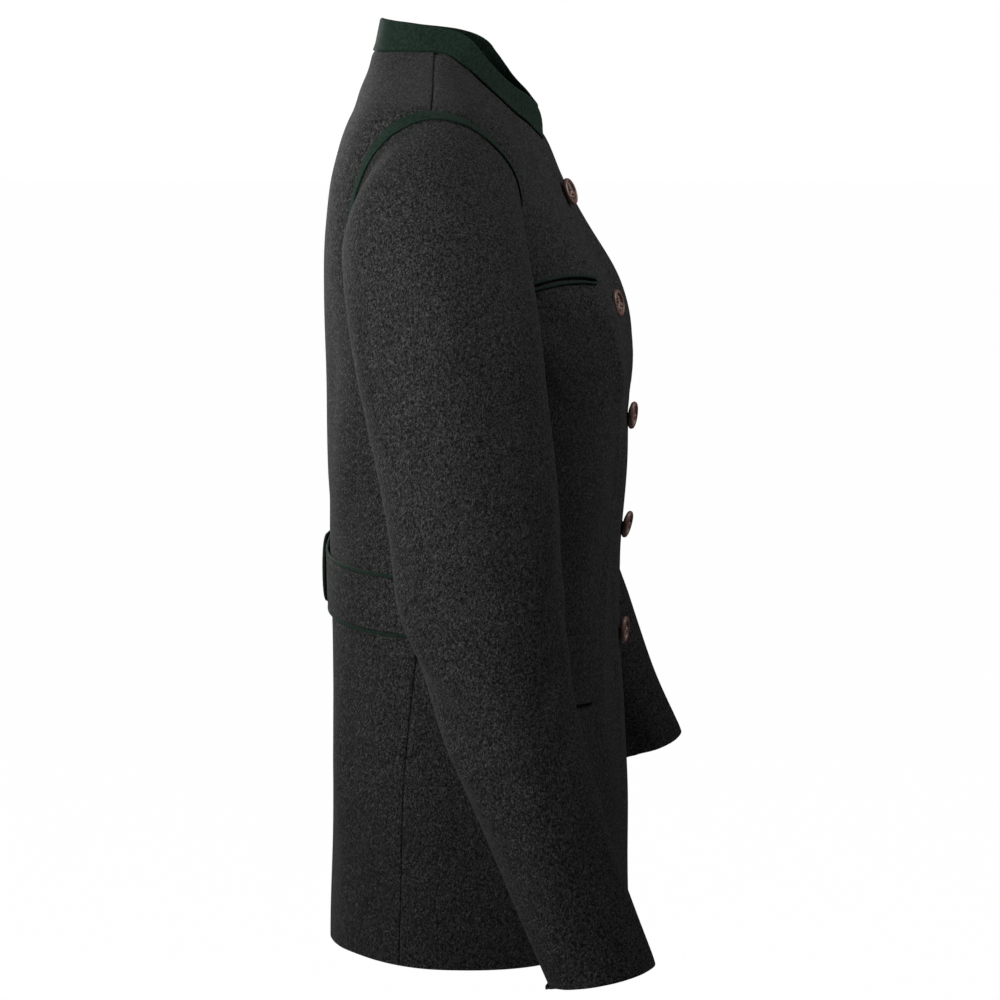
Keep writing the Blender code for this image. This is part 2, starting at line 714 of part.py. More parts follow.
def make_hip_flap(name, front, finish):
    first = front_share(FLAP_FRONT_X, FLAP_TOP_FRONT)
    start, end = front_limit(FLAP_TOP_BACK), side_limit(FLAP_TOP_BACK, -1)
    last = (angle_at_y(FLAP_BACK_Y, FLAP_TOP_BACK) - start) / (end - start)
    middle = (first + last) / 2
    corners = [front.point(u, FLAP_TOP_BACK, 0.0) for u in (first, middle, last)]
    width = sum((b - a).length for a, b in zip(corners, corners[1:]))
    corner = FLAP_CORNER / width * (last - first)
    extra = [first + corner * t for t in FLAP_CORNER_STEPS]
    extra += [last - corner * t for t in FLAP_CORNER_STEPS]

    def place(u, v, lift):
        top = lerp(FLAP_TOP_FRONT, FLAP_TOP_BACK, (u - first) / (last - first))
        from_end = min((u - first) / corner, (last - u) / corner, 1.0)
        drop = FLAP_DROP - FLAP_CORNER * (1 - math.sqrt(1 - (1 - max(from_end, 0.0)) ** 2))
        return front.facet(u, top - drop * (1 - v), lift)

    across = front.columns_between(first, last, extra)
    wall = (LIE_GAP, LIE_GAP + CLOTH_WALL)
    return cloth_piece(name, place, across, shares(FLAP_ROWS), wall, finish)


class BeltHalf:
    """One half of the back belt, measured by its distance from the centre back along the back."""

    def __init__(self, side, back):
        self.side = side
        self.back = back
        ends = [back.point(0.5 + way * BELT_GAUGE, BELT_MIDDLE, 0.0) for way in (-1, 1)]
        self.scale = (ends[1] - ends[0]).length / (2 * BELT_GAUGE)
        self.lap = 0.5 + BELT_LAP / self.scale

    def columns(self):
        reach = BELT_END_HALF_HEIGHT / self.scale
        turns = [math.radians(angle) for angle in BELT_END_DEGREES]
        end = [self.lap - reach * (1 - math.cos(turn)) for turn in turns]
        beside_seam = [step / BACK_COLUMNS for step in BELT_SEAM_STEPS]
        return self.back.columns_between(BELT_SEAM_START, self.lap, [*beside_seam, *end])

    def half_height(self, u):
        past = (u - 0.5) * self.scale
        growth = ease((BELT_END_GROWTH + past) / BELT_END_GROWTH)
        half = lerp(BELT_HALF_HEIGHT, BELT_END_HALF_HEIGHT, growth)
        reach = (self.lap - u) * self.scale / BELT_END_HALF_HEIGHT
        if reach < 1:
            half *= math.sqrt(max(1 - (1 - reach) ** 2, 0.0))
        return half

    def place(self, u, height, lift):
        own = (0.5 - u) * self.scale
        lift += BELT_SLACK * ease(1 - abs(own) / BELT_SLACK_REACH)
        if self.side == LEFT:
            lift += BELT_LAP_LIFT * ease((BELT_LAP_CLEAR + BELT_LAP_RAMP - own) / BELT_LAP_RAMP)
        if self.side == RIGHT:
            u = 1 - u
        return self.back.facet(u, BELT_MIDDLE + height, lift)


def make_belt_half(name, belt, finish):
    def place(u, v, lift):
        half = max(belt.half_height(u), BELT_POINT)
        return belt.place(u, (2 * v - 1) * half, lift)

    wall = (LIE_GAP, LIE_GAP + CLOTH_WALL)
    return cloth_piece(name, place, belt.columns(), shares(2), wall, finish)


def make_belt_piping(name, belt, finish):
    """A thin cord along the top edge, round the end and back along the bottom edge."""
    out = PIPING_RADIUS + SEAM_GAP
    half = BELT_END_HALF_HEIGHT + out
    middle = belt.lap - BELT_END_HALF_HEIGHT / belt.scale
    straight = [u for u in belt.columns() if u < min(middle, 0.5)]
    top = [(u, belt.half_height(u) + out) for u in straight]
    turns = [math.radians(angle) for angle in range(90, -91, -PIPING_TURN_DEGREES)]
    end = [(middle + half / belt.scale * math.cos(turn), half * math.sin(turn)) for turn in turns]
    bottom = [(u, -height) for u, height in reversed(top)]
    route = top + end + bottom
    curve = bpy.data.curves.new(name, "CURVE")
    curve.dimensions = "3D"
    curve.bevel_depth = PIPING_RADIUS
    curve.bevel_resolution = 1
    curve.use_fill_caps = True
    spline = curve.splines.new("POLY")
    spline.points.add(len(route) - 1)
    for knot, (u, height) in zip(spline.points, route):
        knot.co = (*belt.place(u, height, out), 1.0)
    curve.materials.append(finish)
    obj = bpy.data.objects.new(name, curve)
    bpy.context.collection.objects.link(obj)
    return obj


def make_button(number, turn_degrees, nod_degrees, finish):
    """A turned disc with a round rim and a dished face, askew on the front that carries it."""
    z = BUTTON_TOP - (number - 1) * BUTTON_SPACING
    bm = bmesh.new()
    profile = [(out * BUTTON_RADIUS, up * BUTTON_THICKNESS) for out, up in BUTTON_PROFILE]
    verts = [bm.verts.new((out, 0.0, up)) for out, up in profile]
    edges = [bm.edges.new(pair) for pair in zip(verts, verts[1:])]
    bmesh.ops.spin(
        bm,
        geom=verts + edges,
        axis=(0, 0, 1),
        cent=(0, 0, 0),
        angle=2 * math.pi,
        steps=BUTTON_SIDES,
        use_merge=True,
    )
    bmesh.ops.remove_doubles(bm, verts=bm.verts[:], dist=WELD_DISTANCE)
    normal = body_normal(0.0, z)
    turn = Matrix.Rotation(math.radians(-turn_degrees), 3, "Z")
    nod = Matrix.Rotation(math.radians(nod_degrees), 3, "X")
    facing = turn @ nod @ normal
    tilt = normal.angle(facing)
    stand_off = max(out * math.sin(tilt) - up * math.cos(tilt) for out, up in profile)
    seat = body_point(0.0, z) + normal * (lap_lift(0.0) + BUTTON_SEAT_GAP + stand_off)
    askew = Vector((0, 0, 1)).rotation_difference(facing).to_matrix().to_4x4()
    bmesh.ops.transform(bm, matrix=Matrix.Translation(seat) @ askew, verts=bm.verts[:])
    return add_object(f"button_{number}", bm, finish)


def main():
    clear_scene()
    loden = material("charcoal_loden", (0.030, 0.030, 0.031), 0.95)
    green = material("dark_green_felt", (0.012, 0.034, 0.020), 0.92)
    horn = material("carved_antler", (0.26, 0.15, 0.12), 0.45)
    back = back_panel()
    fronts = {RIGHT: front_panel(RIGHT), LEFT: front_panel(LEFT)}
    make_panel("back", back, loden)
    make_collar(fronts[RIGHT], fronts[LEFT], back, green)
    for number, (turn_degrees, nod_degrees) in enumerate(BUTTON_SEATS, start=1):
        make_button(number, turn_degrees, nod_degrees, horn)
    for word, side in (("right", RIGHT), ("left", LEFT)):
        sleeve = sleeve_panel(side)
        belt = BeltHalf(side, back)
        make_panel(f"front_{word}", fronts[side], loden)
        make_sleeve(f"sleeve_{word}", sleeve, loden)
        make_armhole_band(f"armhole_band_{word}", sleeve, green)
        make_chest_welt(f"chest_welt_{word}", fronts[side], green)
        make_hip_flap(f"hip_flap_{word}", fronts[side], loden)
        make_belt_half(f"belt_{word}", belt, loden)
        make_belt_piping(f"belt_piping_{word}", belt, green)


main()
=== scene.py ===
"""Finish of a women's hip-length loden jacket: cloth, felt, seams, stitches, piping and buttons.

Metres, +Z up. The wearer faces -Y, so the wearer's left side is at +X. Every cloth piece is a
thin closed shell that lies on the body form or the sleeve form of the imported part.
"""

import math
import bmesh
import bpy
import numpy as np
from bpy.props import FloatProperty, FloatVectorProperty, PointerProperty
from mathutils import Matrix, Vector, kdtree


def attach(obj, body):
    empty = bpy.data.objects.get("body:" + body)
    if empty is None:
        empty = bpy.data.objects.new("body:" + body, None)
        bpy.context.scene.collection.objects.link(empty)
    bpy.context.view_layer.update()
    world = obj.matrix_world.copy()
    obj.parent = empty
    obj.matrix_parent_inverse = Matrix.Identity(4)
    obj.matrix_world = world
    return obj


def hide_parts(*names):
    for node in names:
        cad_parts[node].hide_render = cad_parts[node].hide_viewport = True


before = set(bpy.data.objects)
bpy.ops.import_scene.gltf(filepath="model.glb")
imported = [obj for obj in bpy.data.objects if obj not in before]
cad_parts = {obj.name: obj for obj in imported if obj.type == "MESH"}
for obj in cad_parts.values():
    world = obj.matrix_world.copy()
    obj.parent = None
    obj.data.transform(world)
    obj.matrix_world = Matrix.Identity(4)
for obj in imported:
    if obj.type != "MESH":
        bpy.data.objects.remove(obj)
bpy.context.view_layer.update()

bl_info = {
    "name": "Loden Jacket",
    "version": (1, 0, 0),
    "blender": (4, 5, 0),
    "location": "3D View > Sidebar > Jacket",
    "description": "Builds the cloth, trims and buttons of a hip-length loden jacket",
    "category": "Object",
}

RIGHT = -1
LEFT = 1
SIDES = (("right", RIGHT), ("left", LEFT))

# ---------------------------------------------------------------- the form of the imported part


def hermite(t, start, start_pull, end, end_pull):
    """A smooth cubic from start to end that leaves and arrives along its pulls."""
    return (
        start * (2 * t**3 - 3 * t**2 + 1)
        + start_pull * (t**3 - 2 * t**2 + t)
        + end * (3 * t**2 - 2 * t**3)
        + end_pull * (t**3 - t**2)
    )


class Table:
    """Smooth values by place along the first column."""

    def __init__(self, columns, rows):
        self.columns = columns
        self.rows = np.array(sorted(rows), float)

    def at(self, name, where):
        place, value = self.rows[:, 0], self.rows[:, self.columns.index(name)]
        step, rise = np.diff(place), np.diff(value)
        slope = np.empty(len(place))
        slope[1:-1] = (value[2:] - value[:-2]) / (place[2:] - place[:-2])
        slope[1:-1][rise[:-1] * rise[1:] <= 0] = 0.0
        slope[0], slope[-1] = rise[0] / step[0], rise[-1] / step[-1]
        where = np.clip(where, place[0], place[-1])
        i = np.clip(np.searchsorted(place, where, side="right") - 1, 0, len(step) - 1)
        t = (where - place[i]) / step[i]
        return hermite(t, value[i], step[i] * slope[i], value[i + 1], step[i] * slope[i + 1])


BODY = Table(
    ("height", "half_width", "side_y", "front_y", "back_y", "front_power", "back_power"),
    (
        (0.004, 0.068, 0.012, -0.012, 0.0655, 2.0, 2.2),  # side of the neck
        (-0.010, 0.106, 0.009, -0.018, 0.0690, 2.0, 2.2),
        (-0.024, 0.146, 0.005, -0.031, 0.0725, 2.1, 2.3),
        (-0.038, 0.184, 0.002, -0.042, 0.0745, 2.2, 2.4),  # tip of the shoulder
        (-0.050, 0.188, 0.001, -0.052, 0.0785, 2.5, 2.7),
        (-0.065, 0.189, 0.000, -0.062, 0.0835, 2.7, 2.8),
        (-0.095, 0.189, -0.002, -0.073, 0.0915, 2.8, 2.9),
        (-0.130, 0.188, -0.004, -0.088, 0.0960, 2.8, 2.9),
        (-0.175, 0.187, -0.005, -0.109, 0.0975, 2.7, 2.7),
        (-0.225, 0.186, -0.006, -0.1215, 0.0985, 2.6, 2.5),  # bust
        (-0.300, 0.177, -0.006, -0.1260, 0.0985, 2.5, 2.4),
        (-0.385, 0.169, -0.006, -0.1205, 0.0980, 2.4, 2.3),  # waist
        (-0.440, 0.173, -0.006, -0.1205, 0.0975, 2.4, 2.3),
        (-0.520, 0.185, -0.006, -0.1260, 0.0985, 2.4, 2.2),  # hip
        (-0.600, 0.192, -0.006, -0.1280, 0.1000, 2.4, 2.0),
        (-0.690, 0.196, -0.006, -0.1290, 0.1030, 2.4, 1.9),
    ),
)
BUST_DART_X = 0.082
BUST_DART_HEIGHT = -0.190
BUST_DART_FULLNESS = 0.0145
BUST_DART_SPREAD_X = 0.040
BUST_DART_SPREAD_Z = 0.075

HEM_SIDE = -0.656
HEM_BACK_DROP = 0.028
HEM_FRONT_DROP = 0.008
HEM_BLEND_HEIGHT = 0.200
NECK_FRONT_TOP = 0.0015
NECK_BACK_TOP = 0.0035

ARM_Y = 0.002
ARM_Z = -0.1225
ARM_HALF_DEPTH = 0.0605
ARM_HALF_HEIGHT = 0.0845
SHOULDER_TIP = ARM_Z + ARM_HALF_HEIGHT
UNDERARM = ARM_Z - ARM_HALF_HEIGHT

SIDE_SEAM = Table(
    ("height", "y"),
    (
        (UNDERARM, 0.0020),
        (-0.300, 0.0060),
        (-0.390, 0.0115),
        (-0.436, 0.0165),
        (-0.480, 0.0212),
        (-0.520, 0.0243),
        (-0.600, 0.0268),
        (-0.720, 0.0290),
    ),
)
FRONT_LAP = 0.019
LAP_RISE = 0.0023
LAP_CLEAR_X = 0.046
LAP_RAMP = 0.018
FRONT_CORNER = -0.0635
FRONT_EDGE = Table(
    ("height", "x"),
    (
        (-0.720, -FRONT_LAP),
        (-0.090, -FRONT_LAP),
        (-0.078, -0.0165),
        (-0.070, -0.0090),
        (FRONT_CORNER, 0.0040),
        (-0.057, 0.0200),
        (-0.042, 0.0440),
        (-0.024, 0.0640),
        (-0.006, 0.0715),
        (0.003, 0.0690),
    ),
)
FRONT_RADIUS = 0.22

COLLAR_BAND = Table(
    ("share", "band_height", "lean_degrees"),
    (
        (0.00, 0.0215, 0.0),
        (0.20, 0.0200, 8.0),
        (0.40, 0.0180, 18.0),
        (0.55, 0.0190, 20.0),
        (0.75, 0.0230, 16.0),
        (1.00, 0.0255, 11.0),
    ),
)
COLLAR_CORNER = 0.016
COLLAR_END_GAP = 0.003
COLLAR_SEAM_GAP = 0.0005
COLLAR_END_SHARE = 0.40
COLLAR_ROLL = 0.0008  # the lower edge stands a little proud
COLLAR_ROLL_WIDTH = 0.0035

SLEEVE = Table(
    ("height", "x", "y", "half_depth", "half_thickness"),
    (
        (-0.222, 0.2470, -0.0195, 0.0640, 0.0555),
        (-0.300, 0.2660, -0.0335, 0.0595, 0.0540),
        (-0.370, 0.2830, -0.0440, 0.0560, 0.0510),
        (-0.430, 0.2970, -0.0590, 0.0478, 0.0470),  # elbow
        (-0.480, 0.3090, -0.0755, 0.0430, 0.0440),
        (-0.550, 0.3250, -0.1030, 0.0378, 0.0405),
        (-0.609, 0.3380, -0.1285, 0.0365, 0.0385),  # cuff
    ),
)
SLEEVE_TOP = -0.222
CUFF = -0.609
RING_STEP = 0.004
CAP_OUT = 0.90
CAP_FORWARD = 0.24
CAP_DOWN_TOP = 0.30
CAP_DOWN_UNDER = 0.62
LEDGE_TURN = math.radians(-42.0)  # where the sleeve head lies flattest against the body's side
LEDGE_WIDTH = 0.0090
LEDGE_FADE = 2
LEDGE_SHARE = 0.08
LEDGE_END = 0.36
CAP_PULL_TOP = 0.185
CAP_PULL_UNDER = 0.030
CAP_PULL_FADE = 1.3
RING_PULL_TOP = 0.240
RING_PULL_UNDER = 0.030
RING_PULL_STEP = 0.010
CAP_LENGTH = 0.200  # along the cloth over the shoulder, from the seam to the underarm level
ARM_LENGTH = 0.405

BAND_FRONT_DEGREES = 78.0
BAND_BACK_DEGREES = -99.0
BAND_WIDTH = 0.0105
BAND_TAPER = 0.55
BAND_TIP_SHARE = 0.02
BAND_ROOM = 0.04

CHEST_POCKET_IN_X = 0.098
CHEST_POCKET_OUT_X = 0.169
CHEST_POCKET_HEIGHT = -0.1625
CHEST_POCKET_RISE = 0.0035
CHEST_POCKET_HALF_OPENING = 0.0011
CHEST_POCKET_DEPTH = 0.0013
WELT_WIDTH = 0.0024
WELT_BLUNTNESS = 2.5

FLAP_FRONT_X = 0.090
FLAP_BACK_Y = -0.030
FLAP_TOP_FRONT = -0.4255
FLAP_TOP_BACK = -0.4130
FLAP_DROP = 0.051
FLAP_CORNER = 0.012

BELT_MIDDLE = -0.3935
BELT_HALF_HEIGHT = 0.0200
BELT_END_HALF_HEIGHT = 0.0240
BELT_LAP = 0.030
BELT_END_GROWTH = 0.060
BELT_LAP_LIFT = 0.0036
BELT_LAP_CLEAR = 0.040
BELT_LAP_RAMP = 0.020
BELT_SLACK = 0.0012
BELT_SLACK_REACH = 0.120
BELT_POINT = 0.0012
BELT_SEAM_START = 0.006
BELT_GAUGE = 0.05
BELT_STITCH_INSET = 0.006

BUTTON_TOP = -0.1045
BUTTON_SPACING = 0.0840
BUTTON_SEAT_GAP = 0.0005
# how each button leans on its thread: turn and nod in degrees
BUTTON_SEATS = ((16.0, 4.0), (16.0, 6.0), (10.0, 8.0), (10.0, 8.0), (10.0, 4.0))
BUTTON_PROFILE = (
    (0.00, 0.00),
    (0.62, 0.00),
    (0.92, 0.22),
    (1.00, 0.52),
    (0.94, 0.86),
    (0.80, 1.00),
    (0.66, 0.86),
    (0.00, 0.80),
)

SEAM_GAP = 0.0003
LIE_GAP = 0.00045
SMALL_ANGLE = 1e-3
SMALL_STEP = 1e-4


def ease(t):
    t = np.clip(t, 0.0, 1.0)
    return t * t * (3 - 2 * t)


def lerp(a, b, t):
    return a + (b - a) * t


def unit(vectors):
    return vectors / np.maximum(np.linalg.norm(vectors, axis=-1, keepdims=True), 1e-12)


def stacked(*parts):
    return np.stack(np.broadcast_arrays(*parts), axis=-1)


def half_of(z, is_front):
    side_y = BODY.at("side_y", z)
    depth = np.where(is_front, side_y - BODY.at("front_y", z), BODY.at("back_y", z) - side_y)
    power = np.where(is_front, BODY.at("front_power", z), BODY.at("back_power", z))
    return side_y, depth, power


def body_point(angle, z):
    """Points of the form: angle 0 is the centre front, +90 degrees the left side, 180 the back."""
    sine, cosine = np.sin(angle), np.cos(angle)
    side_y, depth, power = half_of(z, cosine > 0)
    across = np.abs(sine) / BODY.at("half_width", z)
    reach = (across**power + (np.abs(cosine) / depth) ** power) ** (-1 / power)
    x, y = reach * sine, side_y - reach * cosine
    beside = (np.abs(x) - BUST_DART_X) / BUST_DART_SPREAD_X
    above = (z - BUST_DART_HEIGHT) / BUST_DART_SPREAD_Z
    fullness = BUST_DART_FULLNESS * np.exp(-(beside**2) - above**2)
    return stacked(x, y - np.where(cosine > 0, fullness, 0.0), z)


def body_normal(angle, z):
    round_it = body_point(angle + SMALL_ANGLE, z) - body_point(angle - SMALL_ANGLE, z)
    up_it = body_point(angle, z + SMALL_STEP) - body_point(angle, z - SMALL_STEP)
    return unit(np.cross(round_it, up_it))


def angle_at_y(y, z):
    side_y, depth, power = half_of(z, y < BODY.at("side_y", z))
    along = np.minimum(np.abs(y - side_y) / depth, 1.0)
    x = BODY.at("half_width", z) * (1 - along**power) ** (1 / power)
    return np.arctan2(x, side_y - y)


def angle_at_x(x, z):
    _, depth, power = half_of(z, True)
    across = np.minimum(np.abs(x) / BODY.at("half_width", z), 1.0)
    return np.arctan2(x, depth * (1 - across**power) ** (1 / power))


def hem_shift(angle, z):
    fade = ease((HEM_SIDE + HEM_BLEND_HEIGHT - z) / HEM_BLEND_HEIGHT)
    drop = np.where(np.cos(angle) < 0, HEM_BACK_DROP, HEM_FRONT_DROP)
    return -drop * fade * np.cos(angle) ** 2


def side_limit(z, way):
    """Angle where a front (way -1) or the back (way 1) ends at shoulder, armhole or side seam."""
    level = np.clip((z - ARM_Z) / ARM_HALF_HEIGHT, -1.0, 1.0)
    armhole = ARM_Y + way * ARM_HALF_DEPTH * np.sqrt(1 - level * level)
    y = np.where(z > UNDERARM, armhole, SIDE_SEAM.at("y", z))
    return np.where(z >= SHOULDER_TIP, math.pi / 2, angle_at_y(y, z))


def front_limit(z):
    return angle_at_x(FRONT_EDGE.at("x", z), z)


def lap_rise(x):
    return LAP_RISE * ease((LAP_CLEAR_X - x) / LAP_RAMP)


def trimmed(start, end, u, width):
    margin = SEAM_GAP / 2 / width
    return lerp(start, end, lerp(margin, 1 - margin, u))


def sleeve_middle(z):
    return stacked(SLEEVE.at("x", z), SLEEVE.at("y", z), z)


def sleeve_ring_point(turn, z):
    """turn 0 is the outer side, 90 degrees the front, 180 the side next to the body."""
    above = np.minimum(z + RING_STEP, SLEEVE_TOP)
    down = unit(sleeve_middle(z - RING_STEP) - sleeve_middle(above))
    forward = np.array((0.0, -1.0, 0.0))
    forward = unit(forward - down * (down @ forward)[..., None])
    outward = np.cross(down, forward)
    outward = unit(outward * np.sign(outward[..., :1]))
    depth, thickness = SLEEVE.at("half_depth", z), SLEEVE.at("half_thickness", z)
    away = outward * (thickness * np.cos(turn))[..., None]
    return sleeve_middle(z) + away + forward * (depth * np.sin(turn))[..., None]


def armhole_place(turn, inset=0.0):
    """Angle and height on the body form of the armhole seam, or of a line inside it."""
    y = ARM_Y - (ARM_HALF_DEPTH - SEAM_GAP - inset) * np.sin(turn)
    z = ARM_Z + (ARM_HALF_HEIGHT - SEAM_GAP - inset) * np.cos(turn)
    return angle_at_y(y, z), z


def sleeve_point(turn, v):
    """v runs from -1 at the armhole through 0 at the underarm level to 1 at the cuff."""
    turn, v = np.broadcast_arrays(np.asarray(turn, float), np.asarray(v, float))
    arm = sleeve_ring_point(turn, lerp(SLEEVE_TOP, CUFF, np.maximum(v, 0.0)))
    t = (1 + np.minimum(v, 0.0))[..., None]
    top = (1 + np.cos(turn)) / 2
    ring_top = np.full(turn.shape, SLEEVE_TOP)
    start, end = body_point(*armhole_place(turn)), sleeve_ring_point(turn, ring_top)
    drop = lerp(CAP_DOWN_UNDER, CAP_DOWN_TOP, top)
    away = unit(stacked(CAP_OUT, -CAP_FORWARD * np.sin(turn), -drop))
    below = unit(sleeve_ring_point(turn, ring_top - RING_PULL_STEP) - end)
    start_pull = away * lerp(CAP_PULL_UNDER, CAP_PULL_TOP, top**CAP_PULL_FADE)[..., None]
    end_pull = below * lerp(RING_PULL_UNDER, RING_PULL_TOP, top)[..., None]
    lay = np.maximum(np.cos(turn - LEDGE_TURN), 0.0) ** LEDGE_FADE
    ledge = body_point(*armhole_place(turn, LEDGE_WIDTH * lay)) - start
    laid = 1 - (1 - np.minimum(t / LEDGE_SHARE, 1.0)) ** 2
    laid = laid * (1 - ease((t - LEDGE_SHARE) / (LEDGE_END - LEDGE_SHARE)))
    cap = hermite(t, start + ledge * laid, start_pull, end, end_pull)
    return np.where(v[..., None] >= 0, arm, cap)


def sleeve_normal(turn, v):
    low, high = np.maximum(v - SMALL_ANGLE, -1.0), np.minimum(v + SMALL_ANGLE, 1.0)
    round_it = sleeve_point(turn + SMALL_ANGLE, v) - sleeve_point(turn - SMALL_ANGLE, v)
    down_it = sleeve_point(turn, high) - sleeve_point(turn, low)
    return unit(np.cross(round_it, down_it))


# ---------------------------------------------------------------- folds

# Each fold is a soft trough or ridge between two places. Turns are in degrees: round the body
# 0 is the centre front, 90 the wearer's left, 180 the back and 270 the right; round a sleeve
# 0 is the outer side, 90 the front and 180 the inner side. The rest is in millimetres.
# from turn, from height, to turn, to height, width, rise
BODY_FOLDS = (
    # right front
    (286, -8, 289, -100, 9, 2.2),  # from the neck to the armhole
    (296, -30, 304, -105, 13, -1.2),
    (287, -165, 303, -205, 11, -1.3),
    (283, -215, 300, -252, 12, -1.2),
    (291, -300, 293, -400, 15, 1.4),
    (304, -330, 300, -420, 17, -1.6),
    (331, -285, 337, -372, 18, -1.1),
    (314, -480, 317, -650, 22, -2),
    (294, -500, 291, -655, 20, 1.8),
    (338, -540, 343, -650, 23, 1.3),
    (310, -170, 318, -208, 6.5, 1.4),  # the pressed fullness of the bust
    (318, -206, 329, -272, 7, 1.9),
    (329, -268, 333.5, -335, 6.8, 2),
    (333.5, -330, 328.5, -405, 7.5, 1.7),
    (328.5, -400, 320, -505, 9, 1.1),
    # left front
    (73, -10, 70, -95, 10, 2),
    (63, -34, 55, -100, 13, -1.2),
    (74, -170, 58, -212, 12, -1.4),
    (77, -226, 61, -266, 12, -1.1),
    (69, -312, 64, -392, 16, 1.3),
    (54, -340, 58, -415, 16, -1.5),
    (32, -276, 26, -360, 20, -1),
    (48, -490, 45, -655, 21, -1.8),
    (69, -520, 72, -655, 20, 1.7),
    (24, -560, 19, -655, 24, 1.2),
    (49, -172, 42, -212, 6.6, 1.3),
    (41.5, -210, 31.5, -276, 7.2, 1.8),
    (31.5, -272, 27, -342, 7, 1.9),
    (27, -336, 33, -412, 7.6, 1.6),
    # back
    (106, -110, 113, -235, 12, 2),  # beside the armholes
    (254, -118, 247, -245, 13, 1.9),
    (122, -165, 132, -300, 17, -1.5),
    (237, -172, 229, -290, 16, -1.4),
    (106, -300, 126, -352, 14, -1.3),
    (252, -292, 235, -350, 15, -1.4),
    (150, -318, 174, -346, 11, -1.1),
    (188, -352, 212, -330, 12, -1.2),
    (164, -22, 197, -26, 9, -0.8),  # under the collar
    (128, -440, 124, -660, 21, 2.2),
    (152, -430, 149, -650, 20, -2),
    (177, -450, 179, -680, 23, 1.8),
    (206, -430, 210, -640, 19, -1.9),
    (232, -440, 235, -660, 22, 2.1),
)
SLEEVE_FOLDS = {
    RIGHT: (
        (22, -190, 58, -285, 19, -1.8),
        (-35, -180, -68, -270, 18, -1.6),
        (5, -120, 2, -330, 20, 1.2),
        (92, -335, 36, -398, 13, -2.6),  # the bend of the elbow, in front
        (98, -375, 28, -432, 12, -2.8),
        (88, -418, 40, -462, 12, -2),
        (-88, -356, -32, -408, 15, 2.2),
        (-96, -404, -26, -448, 14, -2.4),
        (-84, -450, -38, -490, 13, 1.8),
        (12, -430, -10, -540, 18, 1.8),
        (52, -500, 70, -590, 14, -1.3),
        (-62, -520, -48, -600, 14, -1.3),
        (150, -350, 205, -400, 14, -2),
        (155, -262, 200, -300, 15, -2),
    ),
    LEFT: (
        (28, -200, 62, -275, 19, -1.7),
        (-40, -170, -72, -262, 19, -1.6),
        (0, -130, -4, -320, 20, 1.1),
        (94, -345, 34, -402, 13, -2.5),
        (90, -388, 38, -428, 12, -2.6),
        (96, -424, 46, -470, 13, -1.9),
        (-90, -350, -36, -400, 15, 2.1),
        (-92, -398, -32, -452, 13, -2.3),
        (-80, -446, -44, -482, 13, 1.7),
        (16, -436, -6, -530, 18, 1.7),
        (56, -505, 72, -585, 14, -1.3),
        (-58, -515, -46, -595, 15, -1.2),
        (152, -356, 202, -395, 14, -1.9),
        (158, -268, 204, -306, 15, -1.9),
    ),
}
BODY_TURN_RADIUS = 0.150  # turns the angle of a fold into a length
SLEEVE_TURN_RADIUS = 0.050
SLEEVE_WRAP = math.radians(-135.0)  # sleeve turns are counted from here
ARMHOLE_FADE = 0.35
FOLD_END_SHARE = 0.35  # of its rise: what a fold keeps at its ends
RIPPLE_LONG = 0.00045
RIPPLE_SHORT = 0.00030
BODY_RIPPLE_SEED = 0.4
MILLIMETRE = 0.001


def folded(folds, turn, height, radius):
    """Rise of the cloth over its form, from soft troughs and ridges that fade at both ends."""
    rise = np.zeros(np.broadcast(turn, height).shape)
    for turn_a, height_a, turn_b, height_b, width, depth in folds:
        width, depth = width * MILLIMETRE, depth * MILLIMETRE
        start = np.array((math.radians(turn_a) * radius, height_a * MILLIMETRE))
        along = np.array((math.radians(turn_b) * radius, height_b * MILLIMETRE)) - start
        length = np.linalg.norm(along)
        along = along / length
        across, up = turn * radius - start[0], height - start[1]
        share = (across * along[0] + up * along[1]) / length
        aside = across * along[1] - up * along[0]
        outside = np.maximum(np.abs(share - 0.5) - 0.5, 0.0) * length
        swell = lerp(FOLD_END_SHARE, 1.0, np.sin(math.pi * np.clip(share, 0.0, 1.0)))
        rise += depth * swell * np.exp(-((aside / width) ** 2) - (outside / width) ** 2)
    return rise * bpy.context.scene.jacket_sizes.fold_strength


def ripple(turn, height, seed):
    """The slow unevenness of hanging cloth."""
    a = np.sin(3.0 * turn + 23.0 * height + seed) * np.sin(2.0 * turn - 31.0 * height + 2.1 * seed)
    b = np.sin(7.0 * turn - 17.0 * height + 1.7 * seed) * np.sin(5.0 * turn + 47.0 * height)
    return RIPPLE_LONG * a + RIPPLE_SHORT * b


def body_rise(turn, z):
    return folded(BODY_FOLDS, turn, z, BODY_TURN_RADIUS) + ripple(turn, z, BODY_RIPPLE_SEED)


def side_rise(angle, z, side):
    """Rise of the body's cloth at an angle that is counted towards this side."""
    return body_rise(2 * math.pi - angle if side == RIGHT else angle, z)


# ---------------------------------------------------------------- surfaces that pieces lie on


